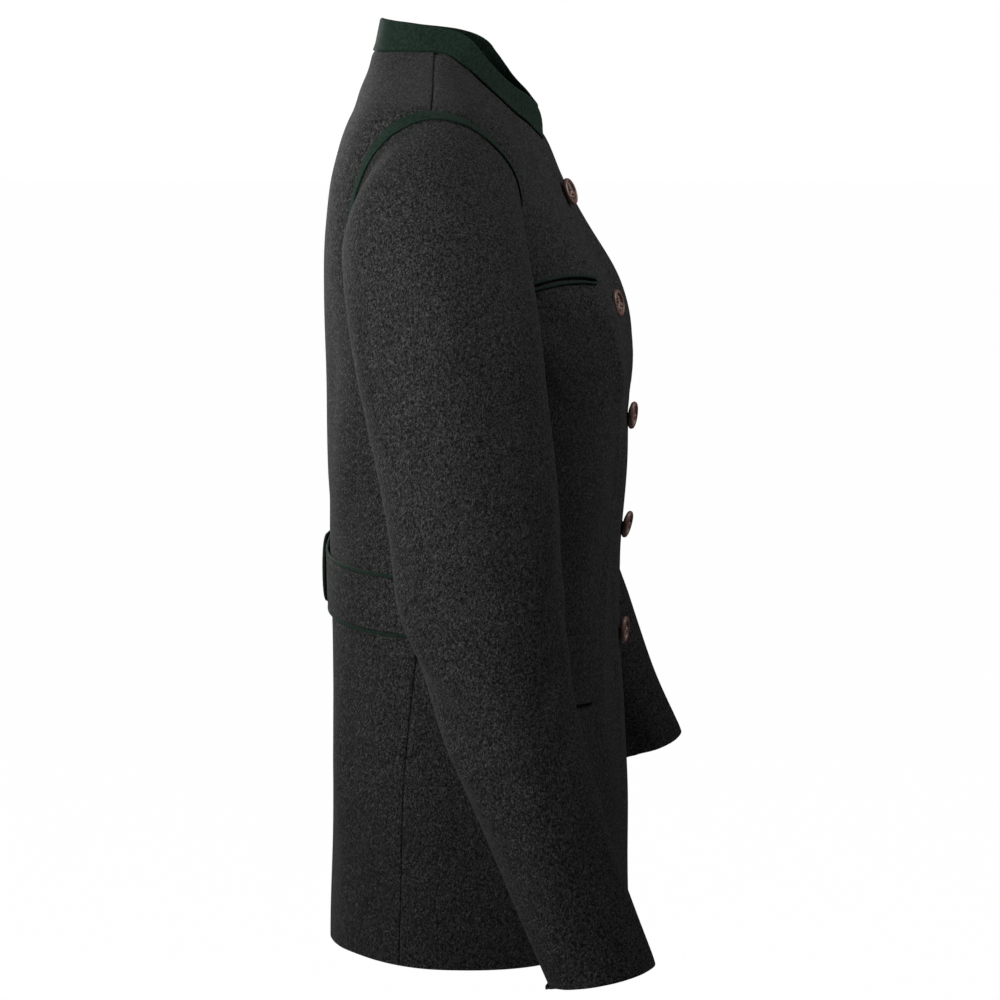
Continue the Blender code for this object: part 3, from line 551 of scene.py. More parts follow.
class Panel:
    """A body panel: the rule that places its outer face by a share across it and a level."""

    def __init__(self, side):
        self.side = side

    def limits(self, level):
        if self.side == 0:
            limit = side_limit(level, 1)
            return limit, 2 * math.pi - limit
        return front_limit(level), side_limit(level, -1)

    def surface(self, u, level):
        """Points of the outer face and its outward normals."""
        start, end = self.limits(level)
        width = 2 * BODY.at("half_width", level)
        if self.side:
            width = FRONT_RADIUS * (end - start)
        angle = trimmed(start, end, u, width)
        z = level + hem_shift(angle, level)
        points, normals = body_point(angle, z), body_normal(angle, z)
        rise = side_rise(angle, z, self.side)
        if self.side == RIGHT:
            rise = rise + lap_rise(points[..., 0])
        points = points + normals * rise[..., None]
        mirror = np.array((-1.0 if self.side == RIGHT else 1.0, 1.0, 1.0))
        return points * mirror, normals * mirror

    def share_at_x(self, x, z):
        start, end = self.limits(z)
        return (angle_at_x(x, z) - start) / (end - start)

    def share_at_y(self, y, z):
        start, end = self.limits(z)
        return (angle_at_y(y, z) - start) / (end - start)


class SleeveForm:
    """A sleeve: its outer face by a turn round the arm and v along it."""

    def __init__(self, side):
        self.side = side

    def surface(self, turn, v):
        points, normals = sleeve_point(turn, v), sleeve_normal(turn, v)
        height = points[..., 2]
        wrapped = np.mod(turn - SLEEVE_WRAP, 2 * math.pi) + SLEEVE_WRAP
        free = ease((v + 1) / ARMHOLE_FADE)
        rise = folded(SLEEVE_FOLDS[self.side], wrapped, height, SLEEVE_TURN_RADIUS)
        rise = (rise + ripple(turn, height, self.side)) * free
        angle, z = armhole_place(turn)
        sewn = body_normal(angle, z) * (side_rise(angle, z, self.side) * (1 - free))[..., None]
        points = points + normals * rise[..., None] + sewn
        mirror = np.array((float(self.side), 1.0, 1.0))
        return points * mirror, normals * mirror


# ---------------------------------------------------------------- shells

FINE_STOPS = (0.00012, 0.00032, 0.00065, 0.0011, 0.0018, 0.0030, 0.0050)
BORDER_STEP = 0.0005
SEWN = "sewn"  # a seam to the next piece
TURNED = "turned"  # an edge with its allowance folded under
RAW = "raw"  # a cut edge of felt
EDGE_RADIUS = {SEWN: 0.25, TURNED: 0.5, RAW: 0.42}  # shares of the wall
SEAM_DIP = 0.00045
SEAM_DIP_WIDTH = 0.0012
SEAM_PRESS = 0.00022  # the allowance pressed open under the cloth
SEAM_PRESS_PLACE = 0.0050
SEAM_PRESS_WIDTH = 0.0028
WELD = 1e-6
LEAST_CUT = 0.0101
CORD_SIDES = 12
CORD_END_SIZES = (0.0, 0.55, 0.85, 1.0)
WOOLS = {"cloth": "loden_wool", "felt": "felt_wool"}


def stops(length, step, first=True, last=True):
    """Shares of a length at even steps, closer together at a finished end."""
    fine = [d for d in FINE_STOPS if d < length / 3]
    start = [0.0] + (fine if first else [])
    end = [length] + ([length - d for d in fine] if last else [])
    low, high = start[-1], min(end)
    count = max(int(round((high - low) / step)), 1)
    middle = [low + (high - low) * i / count for i in range(1, count)]
    return np.array(sorted(start + middle + end)) / length


def run_of(route):
    """Length along a route at each of its points."""
    return np.concatenate([[0.0], np.cumsum(np.linalg.norm(np.diff(route, axis=0), axis=1))])


def rows_at(at, places, rows):
    return stacked(*(np.interp(at, places, column) for column in rows.T))


def resampled(route, values, step):
    """A route and what goes with it, at even steps."""
    run = run_of(route)
    at = np.linspace(0.0, run[-1], max(int(round(run[-1] / step)), 2) + 1)
    return rows_at(at, run, route), rows_at(at, run, values)


def border_distance(points, line):
    """How far each point is from a border line."""
    run = run_of(line)
    even = np.linspace(0.0, run[-1], max(int(run[-1] / BORDER_STEP), 4))
    dense = rows_at(np.unique(np.concatenate([run, even])), run, line)
    tree = kdtree.KDTree(len(dense))
    for i, point in enumerate(dense):
        tree.insert(point, i)
    tree.balance()
    flat = points.reshape(-1, 3)
    nearest = np.array([tree.find(point)[1] for point in flat])
    found = np.full(len(flat), np.inf)
    for way in (-1, 1):
        a = dense[nearest]
        run = dense[np.clip(nearest + way, 0, len(dense) - 1)] - a
        share = ((flat - a) * run).sum(axis=1) / np.maximum((run * run).sum(axis=1), 1e-18)
        close = a + run * np.clip(share, 0.0, 1.0)[:, None]
        found = np.minimum(found, np.linalg.norm(flat - close, axis=1))
    return found.reshape(points.shape[:-1])


def all_edges(points, style):
    return tuple((line, style) for line in (points[0], points[-1], points[:, 0], points[:, -1]))


def edge_shape(distance, wall, style):
    """How far the outer and the inner face close in at this distance from an edge."""
    radius = wall * EDGE_RADIUS[style]
    inside = np.clip(1 - distance / radius, 0.0, 1.0)
    close = radius * (1 - np.sqrt(1 - inside**2))
    if style != SEWN:
        return close, close
    dip = SEAM_DIP * np.exp(-((distance / SEAM_DIP_WIDTH) ** 2))
    press = SEAM_PRESS * np.exp(-(((distance - SEAM_PRESS_PLACE) / SEAM_PRESS_WIDTH) ** 2))
    return close + dip - press, close


def grid_places(bm, rows, columns):
    """Each vertex of a grid that is 1 m wide, with its row and column."""
    for vert in bm.verts:
        yield vert, round((vert.co.y + 0.5) * (rows - 1)), round((vert.co.x + 0.5) * (columns - 1))


def new_object(name, data):
    obj = bpy.data.objects.new(name, data)
    bpy.context.scene.collection.objects.link(obj)
    return obj


def mesh_object(name, bm, finish):
    mesh = bpy.data.meshes.new(name)
    bm.to_mesh(mesh)
    bm.free()
    mesh.materials.append(bpy.data.materials[finish])
    return new_object(name, mesh)


def piece_object(name, bm, finish, node=None):
    bmesh.ops.remove_doubles(bm, verts=bm.verts[:], dist=WELD)
    bmesh.ops.recalc_face_normals(bm, faces=bm.faces[:])
    obj = mesh_object(name, bm, finish)
    obj.data.shade_smooth()
    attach(obj, "root")
    if node:
        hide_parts(node)
    return obj


def cloth_shell(node, wool, surface, wall, borders, closed=False, relief=0.0, tuck=0.0):
    """A closed shell of cloth from the grid of points of its outer face, rows by columns.

    borders lists each edge line with its style. A closed shell goes all round, and its last
    column repeats its first. relief raises or sinks the outer face alone, and tuck moves the
    inner face alone.
    """
    points, normals = surface
    rows, columns = points.shape[:2]
    outer, inner = np.zeros((rows, columns)), np.zeros((rows, columns))
    nearest = np.ones((rows, columns))
    for line, style in borders:
        distance = border_distance(points, line)
        out_by, in_by = edge_shape(distance, wall, style)
        outer = np.where(np.abs(out_by) > np.abs(outer), out_by, outer)
        inner = np.maximum(inner, in_by)
        nearest = np.minimum(nearest, distance)
    face = (points + normals * (relief - outer)[..., None]).tolist()
    back = (points + normals * (inner - wall)[..., None] + tuck).tolist()
    nearest = nearest.tolist()

    bm = bmesh.new()
    from_edge = bm.verts.layers.float.new("edge_distance")
    bmesh.ops.create_grid(bm, x_segments=columns - 1, y_segments=rows - 1, size=0.5)
    if closed:
        for vert in bm.verts:
            if vert.co.x > 0.5 - SMALL_STEP:
                vert.co.x = -0.5
        bmesh.ops.remove_doubles(bm, verts=bm.verts[:], dist=SMALL_STEP)
    layers = bmesh.ops.extrude_face_region(bm, geom=bm.faces[:], use_keep_orig=True)
    under = {item for item in layers["geom"] if isinstance(item, bmesh.types.BMVert)}
    for vert, row, column in list(grid_places(bm, rows, columns)):
        vert[from_edge] = nearest[row][column]
        vert.co = (back if vert in under else face)[row][column]
    return piece_object(f"{node}_{wool}", bm, WOOLS[wool], node)


def cut_size(points):
    """Greatest width and length of the flat cut, and its area."""
    width = np.linalg.norm(np.diff(points, axis=1), axis=-1).sum(axis=1).max()
    length = np.linalg.norm(np.diff(points, axis=0), axis=-1).sum(axis=0).max()
    right = points[:-1, 1:] - points[:-1, :-1]
    up = points[1:, :-1] - points[:-1, :-1]
    area = np.linalg.norm(np.cross(right, up), axis=-1).sum()
    return (float(width), float(length)), float(min(area, width * length))


def declare_sheet(points):
    """Works out the size that the piece is cut to, a narrow strip counting as at least 10 mm wide; the size
    is not used further.
    """
    flat, area = cut_size(points)
    flat = tuple(max(side, LEAST_CUT) for side in flat)


def tube(name, route, normals, radius, finish, node=None):
    """A cord along a route, rounded off at both ends."""
    along = unit(np.gradient(route, axis=0))
    aside = unit(np.cross(along, normals))
    up = np.cross(aside, along)
    sizes = np.ones(len(route))
    sizes[: len(CORD_END_SIZES)] = CORD_END_SIZES
    sizes[-len(CORD_END_SIZES) :] = CORD_END_SIZES[::-1]
    turns = 2 * math.pi * np.arange(CORD_SIDES + 1) / CORD_SIDES
    ring = aside[:, None] * np.cos(turns)[None, :, None] + up[:, None] * np.sin(turns)[None, :, None]
    points = (route[:, None] + ring * (sizes * radius)[:, None, None]).tolist()
    bm = bmesh.new()
    bmesh.ops.create_grid(bm, x_segments=CORD_SIDES, y_segments=len(route) - 1, size=0.5)
    for vert, row, column in list(grid_places(bm, len(route), CORD_SIDES + 1)):
        vert.co = points[row][column % CORD_SIDES]
    return piece_object(name, bm, finish, node)


def stitches(name, lines, pitch, half_sizes, finish):
    """Short stitches at an even pitch along lines of points and normals, as one mesh."""
    bm = bmesh.new()
    scale = Matrix.Diagonal((*half_sizes, 1.0))
    for line in lines:
        route, normals = resampled(*line, pitch / 2)
        for i in range(1, len(route) - 1, 2):
            x = Vector(route[i + 1] - route[i - 1]).normalized()
            y = Vector(normals[i]).cross(x).normalized()
            turn = Matrix((x, y, x.cross(y))).transposed().to_4x4()
            matrix = Matrix.Translation(route[i]) @ turn @ scale
            bmesh.ops.create_icosphere(bm, subdivisions=1, radius=1.0, matrix=matrix)
    return piece_object(name, bm, finish)


# ---------------------------------------------------------------- body and sleeves

CLOTH_STEP = 0.0034
ARMHOLE_STEPS = 46
SHOULDER_STEP = 0.0022
FRONT_CORNER_REACH = (-0.096, -0.050)
FRONT_CORNER_STEP = 0.0012
POCKET_REACH = 0.0030
POCKET_STEP = 0.00045
POCKET_END_SHARE = 0.04
FRONT_WIDTH = 0.250
BACK_WIDTH = 0.520


def panel_levels(top):
    skirt = HEM_SIDE + (UNDERARM - HEM_SIDE) * stops(UNDERARM - HEM_SIDE, CLOTH_STEP, last=False)
    turns = np.linspace(math.pi, 0.0, ARMHOLE_STEPS + 1)
    armhole = ARM_Z + ARM_HALF_HEIGHT * np.cos(turns)
    shoulder = SHOULDER_TIP + (top - SHOULDER_TIP) * stops(top - SHOULDER_TIP, SHOULDER_STEP, first=False)
    return np.unique(np.round(np.concatenate([skirt, armhole, shoulder]), 6))


def front_levels():
    corner = np.arange(*FRONT_CORNER_REACH, FRONT_CORNER_STEP)
    low = CHEST_POCKET_HEIGHT - POCKET_REACH
    high = CHEST_POCKET_HEIGHT + CHEST_POCKET_RISE + POCKET_REACH
    pocket = np.arange(low, high, POCKET_STEP)
    own = np.concatenate([panel_levels(NECK_FRONT_TOP), corner, pocket, [FRONT_CORNER]])
    own = np.unique(np.round(own, 6))
    return own[np.concatenate([[True], np.diff(own) > SMALL_STEP / 2])]


def pocket_relief(points):
    """How far the cloth sinks into the mouth of the chest pocket."""
    along = (np.abs(points[..., 0]) - CHEST_POCKET_OUT_X) / (CHEST_POCKET_IN_X - CHEST_POCKET_OUT_X)
    height = CHEST_POCKET_HEIGHT + CHEST_POCKET_RISE * (1 - (2 * along - 1) ** 2)
    inside = ease(along / POCKET_END_SHARE) * ease((1 - along) / POCKET_END_SHARE)
    aside = (points[..., 2] - height) / CHEST_POCKET_HALF_OPENING
    on_front = np.where(points[..., 1] < 0, 1.0, 0.0)
    return -CHEST_POCKET_DEPTH * inside * on_front * np.exp(-(aside**4))


def build_fronts():
    wall = bpy.context.scene.jacket_sizes.cloth_wall
    levels = front_levels()
    corner = int(np.argmin(np.abs(levels - FRONT_CORNER)))
    for word, side in SIDES:
        surface = Panel(side).surface(stops(FRONT_WIDTH, CLOTH_STEP)[None, :], levels[:, None])
        points = surface[0]
        borders = (
            (points[: corner + 1, 0], TURNED),
            (points[corner:, 0], SEWN),
            (points[:, -1], SEWN),
            (points[0], TURNED),
        )
        relief = pocket_relief(points)
        obj = cloth_shell(f"front_{word}", "cloth", surface, wall, borders, relief=relief)
        declare_sheet(points)


def build_back():
    levels = panel_levels(NECK_BACK_TOP)
    surface = Panel(0).surface(stops(BACK_WIDTH, CLOTH_STEP)[None, :], levels[:, None])
    points = surface[0]
    borders = ((points[:, 0], SEWN), (points[:, -1], SEWN), (points[0], TURNED), (points[-1], SEWN))
    obj = cloth_shell("back", "cloth", surface, bpy.context.scene.jacket_sizes.cloth_wall, borders)
    declare_sheet(points)


SLEEVE_GIRTH = 0.340
SLEEVE_SEAM_TURN = math.radians(196.0)
SLEEVE_SEAM_STOPS = (0.0004, 0.0009, 0.0016, 0.0026)
SLEEVE_CLOTH_STEP = 0.0036


def build_sleeves():
    wall = bpy.context.scene.jacket_sizes.cloth_wall
    around = np.linspace(0.0, 2 * math.pi, int(SLEEVE_GIRTH / SLEEVE_CLOTH_STEP) + 1)[1:-1]
    beside = np.array(SLEEVE_SEAM_STOPS) / SLEEVE_TURN_RADIUS
    turns = np.unique(np.concatenate([[0.0], beside, around, 2 * math.pi - beside, [2 * math.pi]]))
    turns = turns + SLEEVE_SEAM_TURN
    cap = stops(CAP_LENGTH, SLEEVE_CLOTH_STEP, last=False) - 1
    arm = stops(ARM_LENGTH, SLEEVE_CLOTH_STEP, first=False)
    levels = np.unique(np.concatenate([cap, arm]))
    for word, side in SIDES:
        surface = SleeveForm(side).surface(turns[None, :], levels[:, None])
        points = surface[0]
        groove, _ = edge_shape(border_distance(points, points[:, 0]), wall, SEWN)
        borders = ((points[0], SEWN), (points[-1], TURNED))
        obj = cloth_shell(f"sleeve_{word}", "cloth", surface, wall, borders, closed=True, relief=-groove)
        declare_sheet(points)


# ---------------------------------------------------------------- collar

COLLAR_STEP = 0.0026
COLLAR_SMOOTH = 7  # samples on each side that the neck line is smoothed over
COLLAR_ROUTE_STEP = 0.001
COLLAR_END_TURN = 0.026
COLLAR_TUCK = 0.0032  # the inner felt reaches down behind the neck seam
COLLAR_TUCK_WIDTH = 0.010
COLLAR_ROW_LENGTH = 0.0220
COLLAR_ROW_STEP = 0.0016
NECK_CORNER_CLEAR = 0.002
NECK_FRONT_SAMPLES = 90
NECK_BACK_SAMPLES = 60


def neck_route():
    """The neck edge of the body from the right front corner round the back to the left one."""
    halves = []
    for side in (RIGHT, LEFT):
        front = Panel(side)
        start = front.share_at_x(COLLAR_END_GAP, FRONT_CORNER)
        end_point = front.surface(np.array([start]), np.array([FRONT_CORNER]))[0]
        levels = np.linspace(FRONT_CORNER + NECK_CORNER_CLEAR, NECK_FRONT_TOP, NECK_FRONT_SAMPLES)
        own = front.surface(np.zeros(len(levels)), levels)[0]
        u = np.linspace(0.0, 0.5, NECK_BACK_SAMPLES)
        u = u if side == LEFT else 1 - u
        behind = Panel(0).surface(u, np.full(len(u), NECK_BACK_TOP))[0]
        halves.append(np.concatenate([end_point, own, behind]))
    whole = np.concatenate([halves[0], halves[1][-2::-1]])
    whole, _ = resampled(whole, whole, COLLAR_ROUTE_STEP)
    before = 2 * whole[0] - whole[COLLAR_SMOOTH:0:-1]
    after = 2 * whole[-1] - whole[-2 : -2 - COLLAR_SMOOTH : -1]
    padded = np.concatenate([before, whole, after])
    kernel = np.hanning(2 * COLLAR_SMOOTH + 3)[1:-1]
    kernel = kernel / kernel.sum()
    return stacked(*(np.convolve(column, kernel, mode="valid") for column in padded.T))


def build_collar():
    route = neck_route()
    run = run_of(route)
    whole = run[-1]
    at = stops(whole, COLLAR_STEP) * whole
    seam = rows_at(at, run, route)
    along = rows_at(at, run, unit(np.gradient(route, axis=0)))
    flat = np.zeros(len(at))
    from_front = np.minimum(at, whole - at)
    level = stacked(np.sign(along[:, 0]), flat, flat)
    along = unit(lerp(along, level, ease(1 - from_front / COLLAR_END_TURN)[:, None]))
    inward = unit(stacked(along[:, 1], -along[:, 0], flat))
    upward = unit(np.cross(inward, along))
    share = np.minimum(from_front / (whole / 2), 1.0)
    lean = np.radians(COLLAR_BAND.at("lean_degrees", share))[:, None]
    rise = upward * np.cos(lean) + inward * np.sin(lean)
    outward = upward * np.sin(lean) - inward * np.cos(lean)
    corner = np.minimum(from_front / COLLAR_CORNER, 1.0)
    height = COLLAR_BAND.at("band_height", share)
    height = height * (COLLAR_END_SHARE + (1 - COLLAR_END_SHARE) * np.sqrt(1 - (1 - corner) ** 2))
    v = stops(COLLAR_ROW_LENGTH, COLLAR_ROW_STEP)[:, None]
    points = seam[None] + rise[None] * (COLLAR_SEAM_GAP + v * height[None])[..., None]
    surface = points, np.broadcast_to(outward[None], points.shape)
    from_seam = border_distance(points, points[0])
    roll = COLLAR_ROLL * np.exp(-((from_seam / COLLAR_ROLL_WIDTH) ** 2))
    tuck = -COLLAR_TUCK * rise[None] * ease(1 - from_seam / COLLAR_TUCK_WIDTH)[..., None]
    wall = bpy.context.scene.jacket_sizes.collar_wall
    obj = cloth_shell("collar", "felt", surface, wall, all_edges(points, TURNED), relief=roll, tuck=tuck)
    declare_sheet(points)


# ---------------------------------------------------------------- bands, pockets and belt

BAND_LENGTH = 0.240
BAND_CROWN = 0.00025
TRIM_STEP = 0.0015


def lifted(surface, wall):
    """A surface raised by the wall of the piece that lies on it."""
    points, normals = surface
    return points + normals * (LIE_GAP + wall), normals


def build_armhole_bands():
    wall = bpy.context.scene.jacket_sizes.felt_wall
    first, last = math.radians(BAND_BACK_DEGREES), math.radians(BAND_FRONT_DEGREES)
    across = stops(BAND_LENGTH, TRIM_STEP)
    turns = lerp(first, last, across)
    share = lerp(BAND_TIP_SHARE, 1 - BAND_TIP_SHARE, across)
    width = BAND_WIDTH * np.sin(math.pi * share) ** BAND_TAPER
    seam = sleeve_point(turns, np.full(len(turns), -1.0))
    room = np.linalg.norm(sleeve_point(turns, np.full(len(turns), BAND_ROOM - 1)) - seam, axis=1)
    v = stops(BAND_WIDTH, TRIM_STEP)[:, None]
    levels = (SEAM_GAP + v * width) * BAND_ROOM / room - 1
    crown = BAND_CROWN * np.sin(math.pi * v) * np.ones(len(turns))
    for word, side in SIDES:
        surface = lifted(SleeveForm(side).surface(np.broadcast_to(turns, levels.shape), levels), wall)
        points = surface[0]
        node = f"armhole_band_{word}"
        obj = cloth_shell(node, "felt", surface, wall, all_edges(points, RAW), relief=crown)
        declare_sheet(points)


WELT_STEP = 0.0012
WELT_ROWS = 5
WELT_CROWN = 0.0004


def build_chest_welts():
    wall = bpy.context.scene.jacket_sizes.felt_wall
    length = 2 * (CHEST_POCKET_OUT_X - CHEST_POCKET_IN_X)
    turn = np.linspace(0.0, 2 * math.pi, int(length / WELT_STEP) + 1)[None, :]
    v = stops(WELT_WIDTH, WELT_WIDTH / WELT_ROWS)[:, None]
    along = (1 + np.cos(turn)) / 2
    bow = CHEST_POCKET_RISE * (1 - (2 * along - 1) ** 2)
    blunt = np.sign(np.sin(turn)) * np.minimum(np.abs(np.sin(turn)) * WELT_BLUNTNESS, 1.0)
    z = CHEST_POCKET_HEIGHT + bow + blunt * (CHEST_POCKET_HALF_OPENING + v * WELT_WIDTH)
    x = lerp(CHEST_POCKET_OUT_X, CHEST_POCKET_IN_X, along) - v * WELT_WIDTH * np.cos(turn)
    crown = WELT_CROWN * np.sin(math.pi * v) * np.ones(turn.shape[1])
    for word, side in SIDES:
        panel = Panel(side)
        surface = lifted(panel.surface(panel.share_at_x(x, z), z), wall)
        points = surface[0]
        borders = ((points[0], RAW), (points[-1], RAW))
        node = f"chest_welt_{word}"
        obj = cloth_shell(node, "felt", surface, wall, borders, closed=True, relief=crown)


FLAP_SAMPLES = 30


def build_hip_flaps():
    wall = bpy.context.scene.jacket_sizes.cloth_wall
    v = stops(FLAP_DROP, TRIM_STEP)[:, None]
    for word, side in SIDES:
        panel = Panel(side)
        first = float(panel.share_at_x(FLAP_FRONT_X, FLAP_TOP_FRONT))
        last = float(panel.share_at_y(FLAP_BACK_Y, FLAP_TOP_BACK))
        top = np.full(FLAP_SAMPLES, FLAP_TOP_BACK)
        width = float(run_of(panel.surface(np.linspace(first, last, FLAP_SAMPLES), top)[0])[-1])
        share = stops(width, TRIM_STEP)
        from_end = np.minimum(np.minimum(share, 1 - share) / (FLAP_CORNER / width), 1.0)
        drop = FLAP_DROP - FLAP_CORNER * (1 - np.sqrt(1 - (1 - from_end) ** 2))
        levels = lerp(FLAP_TOP_FRONT, FLAP_TOP_BACK, share) - drop * (1 - v)
        surface = lifted(panel.surface(lerp(first, last, share)[None, :], levels), wall)
        points = surface[0]
        obj = cloth_shell(f"hip_flap_{word}", "cloth", surface, wall, all_edges(points, TURNED))
        declare_sheet(points)


BELT_STITCH_TROUGH = 0.00030
BELT_STITCH_TROUGH_WIDTH = 0.0011
BELT_ROW_STEP = 0.0011
BELT_ROUTE_SAMPLES = 120
BELT_END_SAMPLES = 60
BELT_END_STOPS = 28
BELT_END_FIRST_TURN = 0.06
STITCH_PITCH = 0.0032
STITCH_HALF_SIZES = (0.00125, 0.00030, 0.00024)


class BeltHalf:
    """One half of the back belt, measured by its distance from the centre back."""

    def __init__(self, side):
        self.side = side
        self.back = Panel(0)
        ends = self.back.surface(np.array([0.5 - BELT_GAUGE, 0.5 + BELT_GAUGE]), np.full(2, BELT_MIDDLE))[0]
        self.scale = float(np.linalg.norm(ends[1] - ends[0])) / (2 * BELT_GAUGE)
        self.lap = 0.5 + BELT_LAP / self.scale

    def half_height(self, u):
        past = (u - 0.5) * self.scale
        growth = ease((BELT_END_GROWTH + past) / BELT_END_GROWTH)
        reach = np.clip((self.lap - u) * self.scale / BELT_END_HALF_HEIGHT, 0.0, 1.0)
        return lerp(BELT_HALF_HEIGHT, BELT_END_HALF_HEIGHT, growth) * np.sqrt(1 - (1 - reach) ** 2)

    def surface(self, u, height, lift):
        own = (0.5 - u) * self.scale
        lift = lift + BELT_SLACK * ease(1 - np.abs(own) / BELT_SLACK_REACH)
        if self.side == LEFT:
            lift = lift + BELT_LAP_LIFT * ease((BELT_LAP_CLEAR + BELT_LAP_RAMP - own) / BELT_LAP_RAMP)
        else:
            u = 1 - u
        points, normals = self.back.surface(u, BELT_MIDDLE + height)
        return points + normals * lift[..., None], normals

    def edge_route(self, inset, start):
        """Line along the top edge, round the end and back along the bottom edge, inside it by inset."""
        half = BELT_END_HALF_HEIGHT - inset
        middle = self.lap - BELT_END_HALF_HEIGHT / self.scale
        straight = np.linspace(start, middle, BELT_ROUTE_SAMPLES)
        height = self.half_height(straight) - inset
        turns = np.linspace(math.pi / 2, -math.pi / 2, BELT_END_SAMPLES)[1:-1]
        u = np.concatenate([straight, middle + half / self.scale * np.cos(turns), straight[::-1]])
        return u, np.concatenate([height, half * np.sin(turns), -height[::-1]])


def build_belt():
    sizes = bpy.context.scene.jacket_sizes
    top = LIE_GAP + sizes.cloth_wall
    out = sizes.piping_radius + SEAM_GAP
    v = stops(2 * BELT_END_HALF_HEIGHT, BELT_ROW_STEP)[:, None]
    for word, side in SIDES:
        belt = BeltHalf(side)
        width = (belt.lap - BELT_SEAM_START) * belt.scale
        u = lerp(BELT_SEAM_START, belt.lap, stops(width, TRIM_STEP))
        turns = np.linspace(BELT_END_FIRST_TURN, math.pi / 2, BELT_END_STOPS)
        round_end = belt.lap - BELT_END_HALF_HEIGHT / belt.scale * (1 - np.cos(turns))
        u = np.unique(np.round(np.concatenate([u, round_end]), 7))
        height = (2 * v - 1) * np.maximum(belt.half_height(u), BELT_POINT)
        surface = belt.surface(np.broadcast_to(u, height.shape), height, np.full(height.shape, top))
        points = surface[0]
        edges = np.concatenate([points[0], points[-1][::-1]])
        from_stitch = np.abs(border_distance(points, edges) - BELT_STITCH_INSET)
        trough = BELT_STITCH_TROUGH * np.exp(-((from_stitch / BELT_STITCH_TROUGH_WIDTH) ** 2))
        borders = ((edges, TURNED), (points[:, 0], SEWN))
        obj = cloth_shell(f"belt_{word}", "cloth", surface, sizes.cloth_wall, borders, relief=-trough)
        cord = belt.surface(*belt.edge_route(-out, BELT_SEAM_START), np.full(1, out))
        route, up = resampled(*cord, TRIM_STEP)
        node = f"belt_piping_{word}"
        piping = tube(f"{node}_cord", route, up, sizes.piping_radius, "green_piping", node)
        line = belt.surface(*belt.edge_route(BELT_STITCH_INSET, 2 * BELT_SEAM_START), np.full(1, top))
        name = f"belt_stitches_{word}"
        seam = stitches(name, [line], STITCH_PITCH, STITCH_HALF_SIZES, "green_thread")
        declare_sheet(points)


# ---------------------------------------------------------------- buttons

BUTTON_COLUMNS = 120
RIM_SHARE = 0.66  # of the radius: the carved field inside the rim
RIM_LEVEL = 0.55  # of the carving, for the colour of the rim
CARVING_DEPTH = 0.0011
CARVING_MIDDLE = 0.62
RIM_ROWS = 34
ROWS_PAST_RIM = 8  # from the top of the rim to where the field starts
FIELD_ROWS = 46
PROFILE_WEIGHTS = (0.2, 0.6, 0.2)
PROFILE_ROUNDS = 6
CARVING_FADE = 0.05
FIELD_FADE = 0.04
FIELD_LEVELS = (0.72, 0.76)  # of the thickness: in the middle of the field and beside the rim
BUTTON_SPIN = (-12.0, 7.0)  # degrees: of the first button, and from each to the next
SHANK_RADIUS = 0.0016
SHANK_SAMPLES = 12
BUTTONHOLE_HALF_LENGTH = 0.0095
BUTTONHOLE_HALF_WIDTH = 0.0009
BUTTONHOLE_MIDDLE_X = -0.0065
SLIT_END_STEEPNESS = 4
BUTTONHOLE_LIFT = 0.0001
BUTTONHOLE_SAMPLES = 24
BUTTONHOLE_PITCH = 0.0012
BUTTONHOLE_HALF_SIZES = (0.00038, 0.00085, 0.00035)
# middle x, middle y, turn in degrees, half length, half width of each leaf, in shares of the field
LEAVES = (
    (0.02, 0.34, 92.0, 0.62, 0.34),
    (-0.42, -0.26, 212.0, 0.50, 0.30),
    (0.44, -0.24, 334.0, 0.50, 0.30),
)
ACORNS = ((-0.16, -0.60, 0.19), (0.17, -0.62, 0.17), (0.00, -0.20, 0.15))


def carving(x, y):
    """Height of the carved leaves and acorns over the field, from 0 to 1.1."""
    height = 0.10 + 0.06 * np.sin(19 * x + 3 * np.sin(11 * y)) * np.sin(17 * y + 2 * x)
    for middle_x, middle_y, degrees, length, width in LEAVES:
        turn = math.radians(degrees)
        along = ((x - middle_x) * math.cos(turn) + (y - middle_y) * math.sin(turn)) / length
        aside = (-(x - middle_x) * math.sin(turn) + (y - middle_y) * math.cos(turn)) / width
        lobes = np.sqrt(np.clip(1 - along**2, 0, 1)) * (0.78 + 0.22 * np.cos(11 * along + 0.6))
        inside = ease((lobes - np.abs(aside)) / 0.16)
        swell = 0.62 + 0.38 * np.cos(1.4 * aside)
        vein = 0.35 * np.exp(-((aside / 0.09) ** 2))
        side_veins = 0.14 * np.cos(16 * along - 9 * np.abs(aside))
        height = np.maximum(height, inside * (swell - vein + side_veins * (np.abs(aside) > 0.12)))
    for middle_x, middle_y, size in ACORNS:
        away = np.hypot(x - middle_x, y - middle_y) / size
        height = np.maximum(height, 1.05 * np.sqrt(np.clip(1 - away**2, 0, 1)))
    return np.clip(height, 0.0, 1.1)


def button_profile():
    """Fine outline of half a button from the middle of its back to the middle of its face."""
    marks = np.array(BUTTON_PROFILE)
    smooth = rows_at(np.linspace(0.0, 1.0, RIM_ROWS * 2), np.linspace(0.0, 1.0, len(marks)), marks)
    for _ in range(PROFILE_ROUNDS):
        before, own, after = PROFILE_WEIGHTS
        inner = before * smooth[:-2] + own * smooth[1:-1] + after * smooth[2:]
        smooth = np.concatenate([smooth[:1], inner, smooth[-1:]])
    outline = smooth[: int(np.argmax(smooth[:, 1])) + ROWS_PAST_RIM]
    end_out, end_up = outline[-1]
    field = np.linspace(end_out, 0.0, FIELD_ROWS + 1)[1:]
    top = np.interp(field, (0.0, RIM_SHARE, end_out), (*FIELD_LEVELS, end_up))
    return np.concatenate([outline, stacked(field, top)])


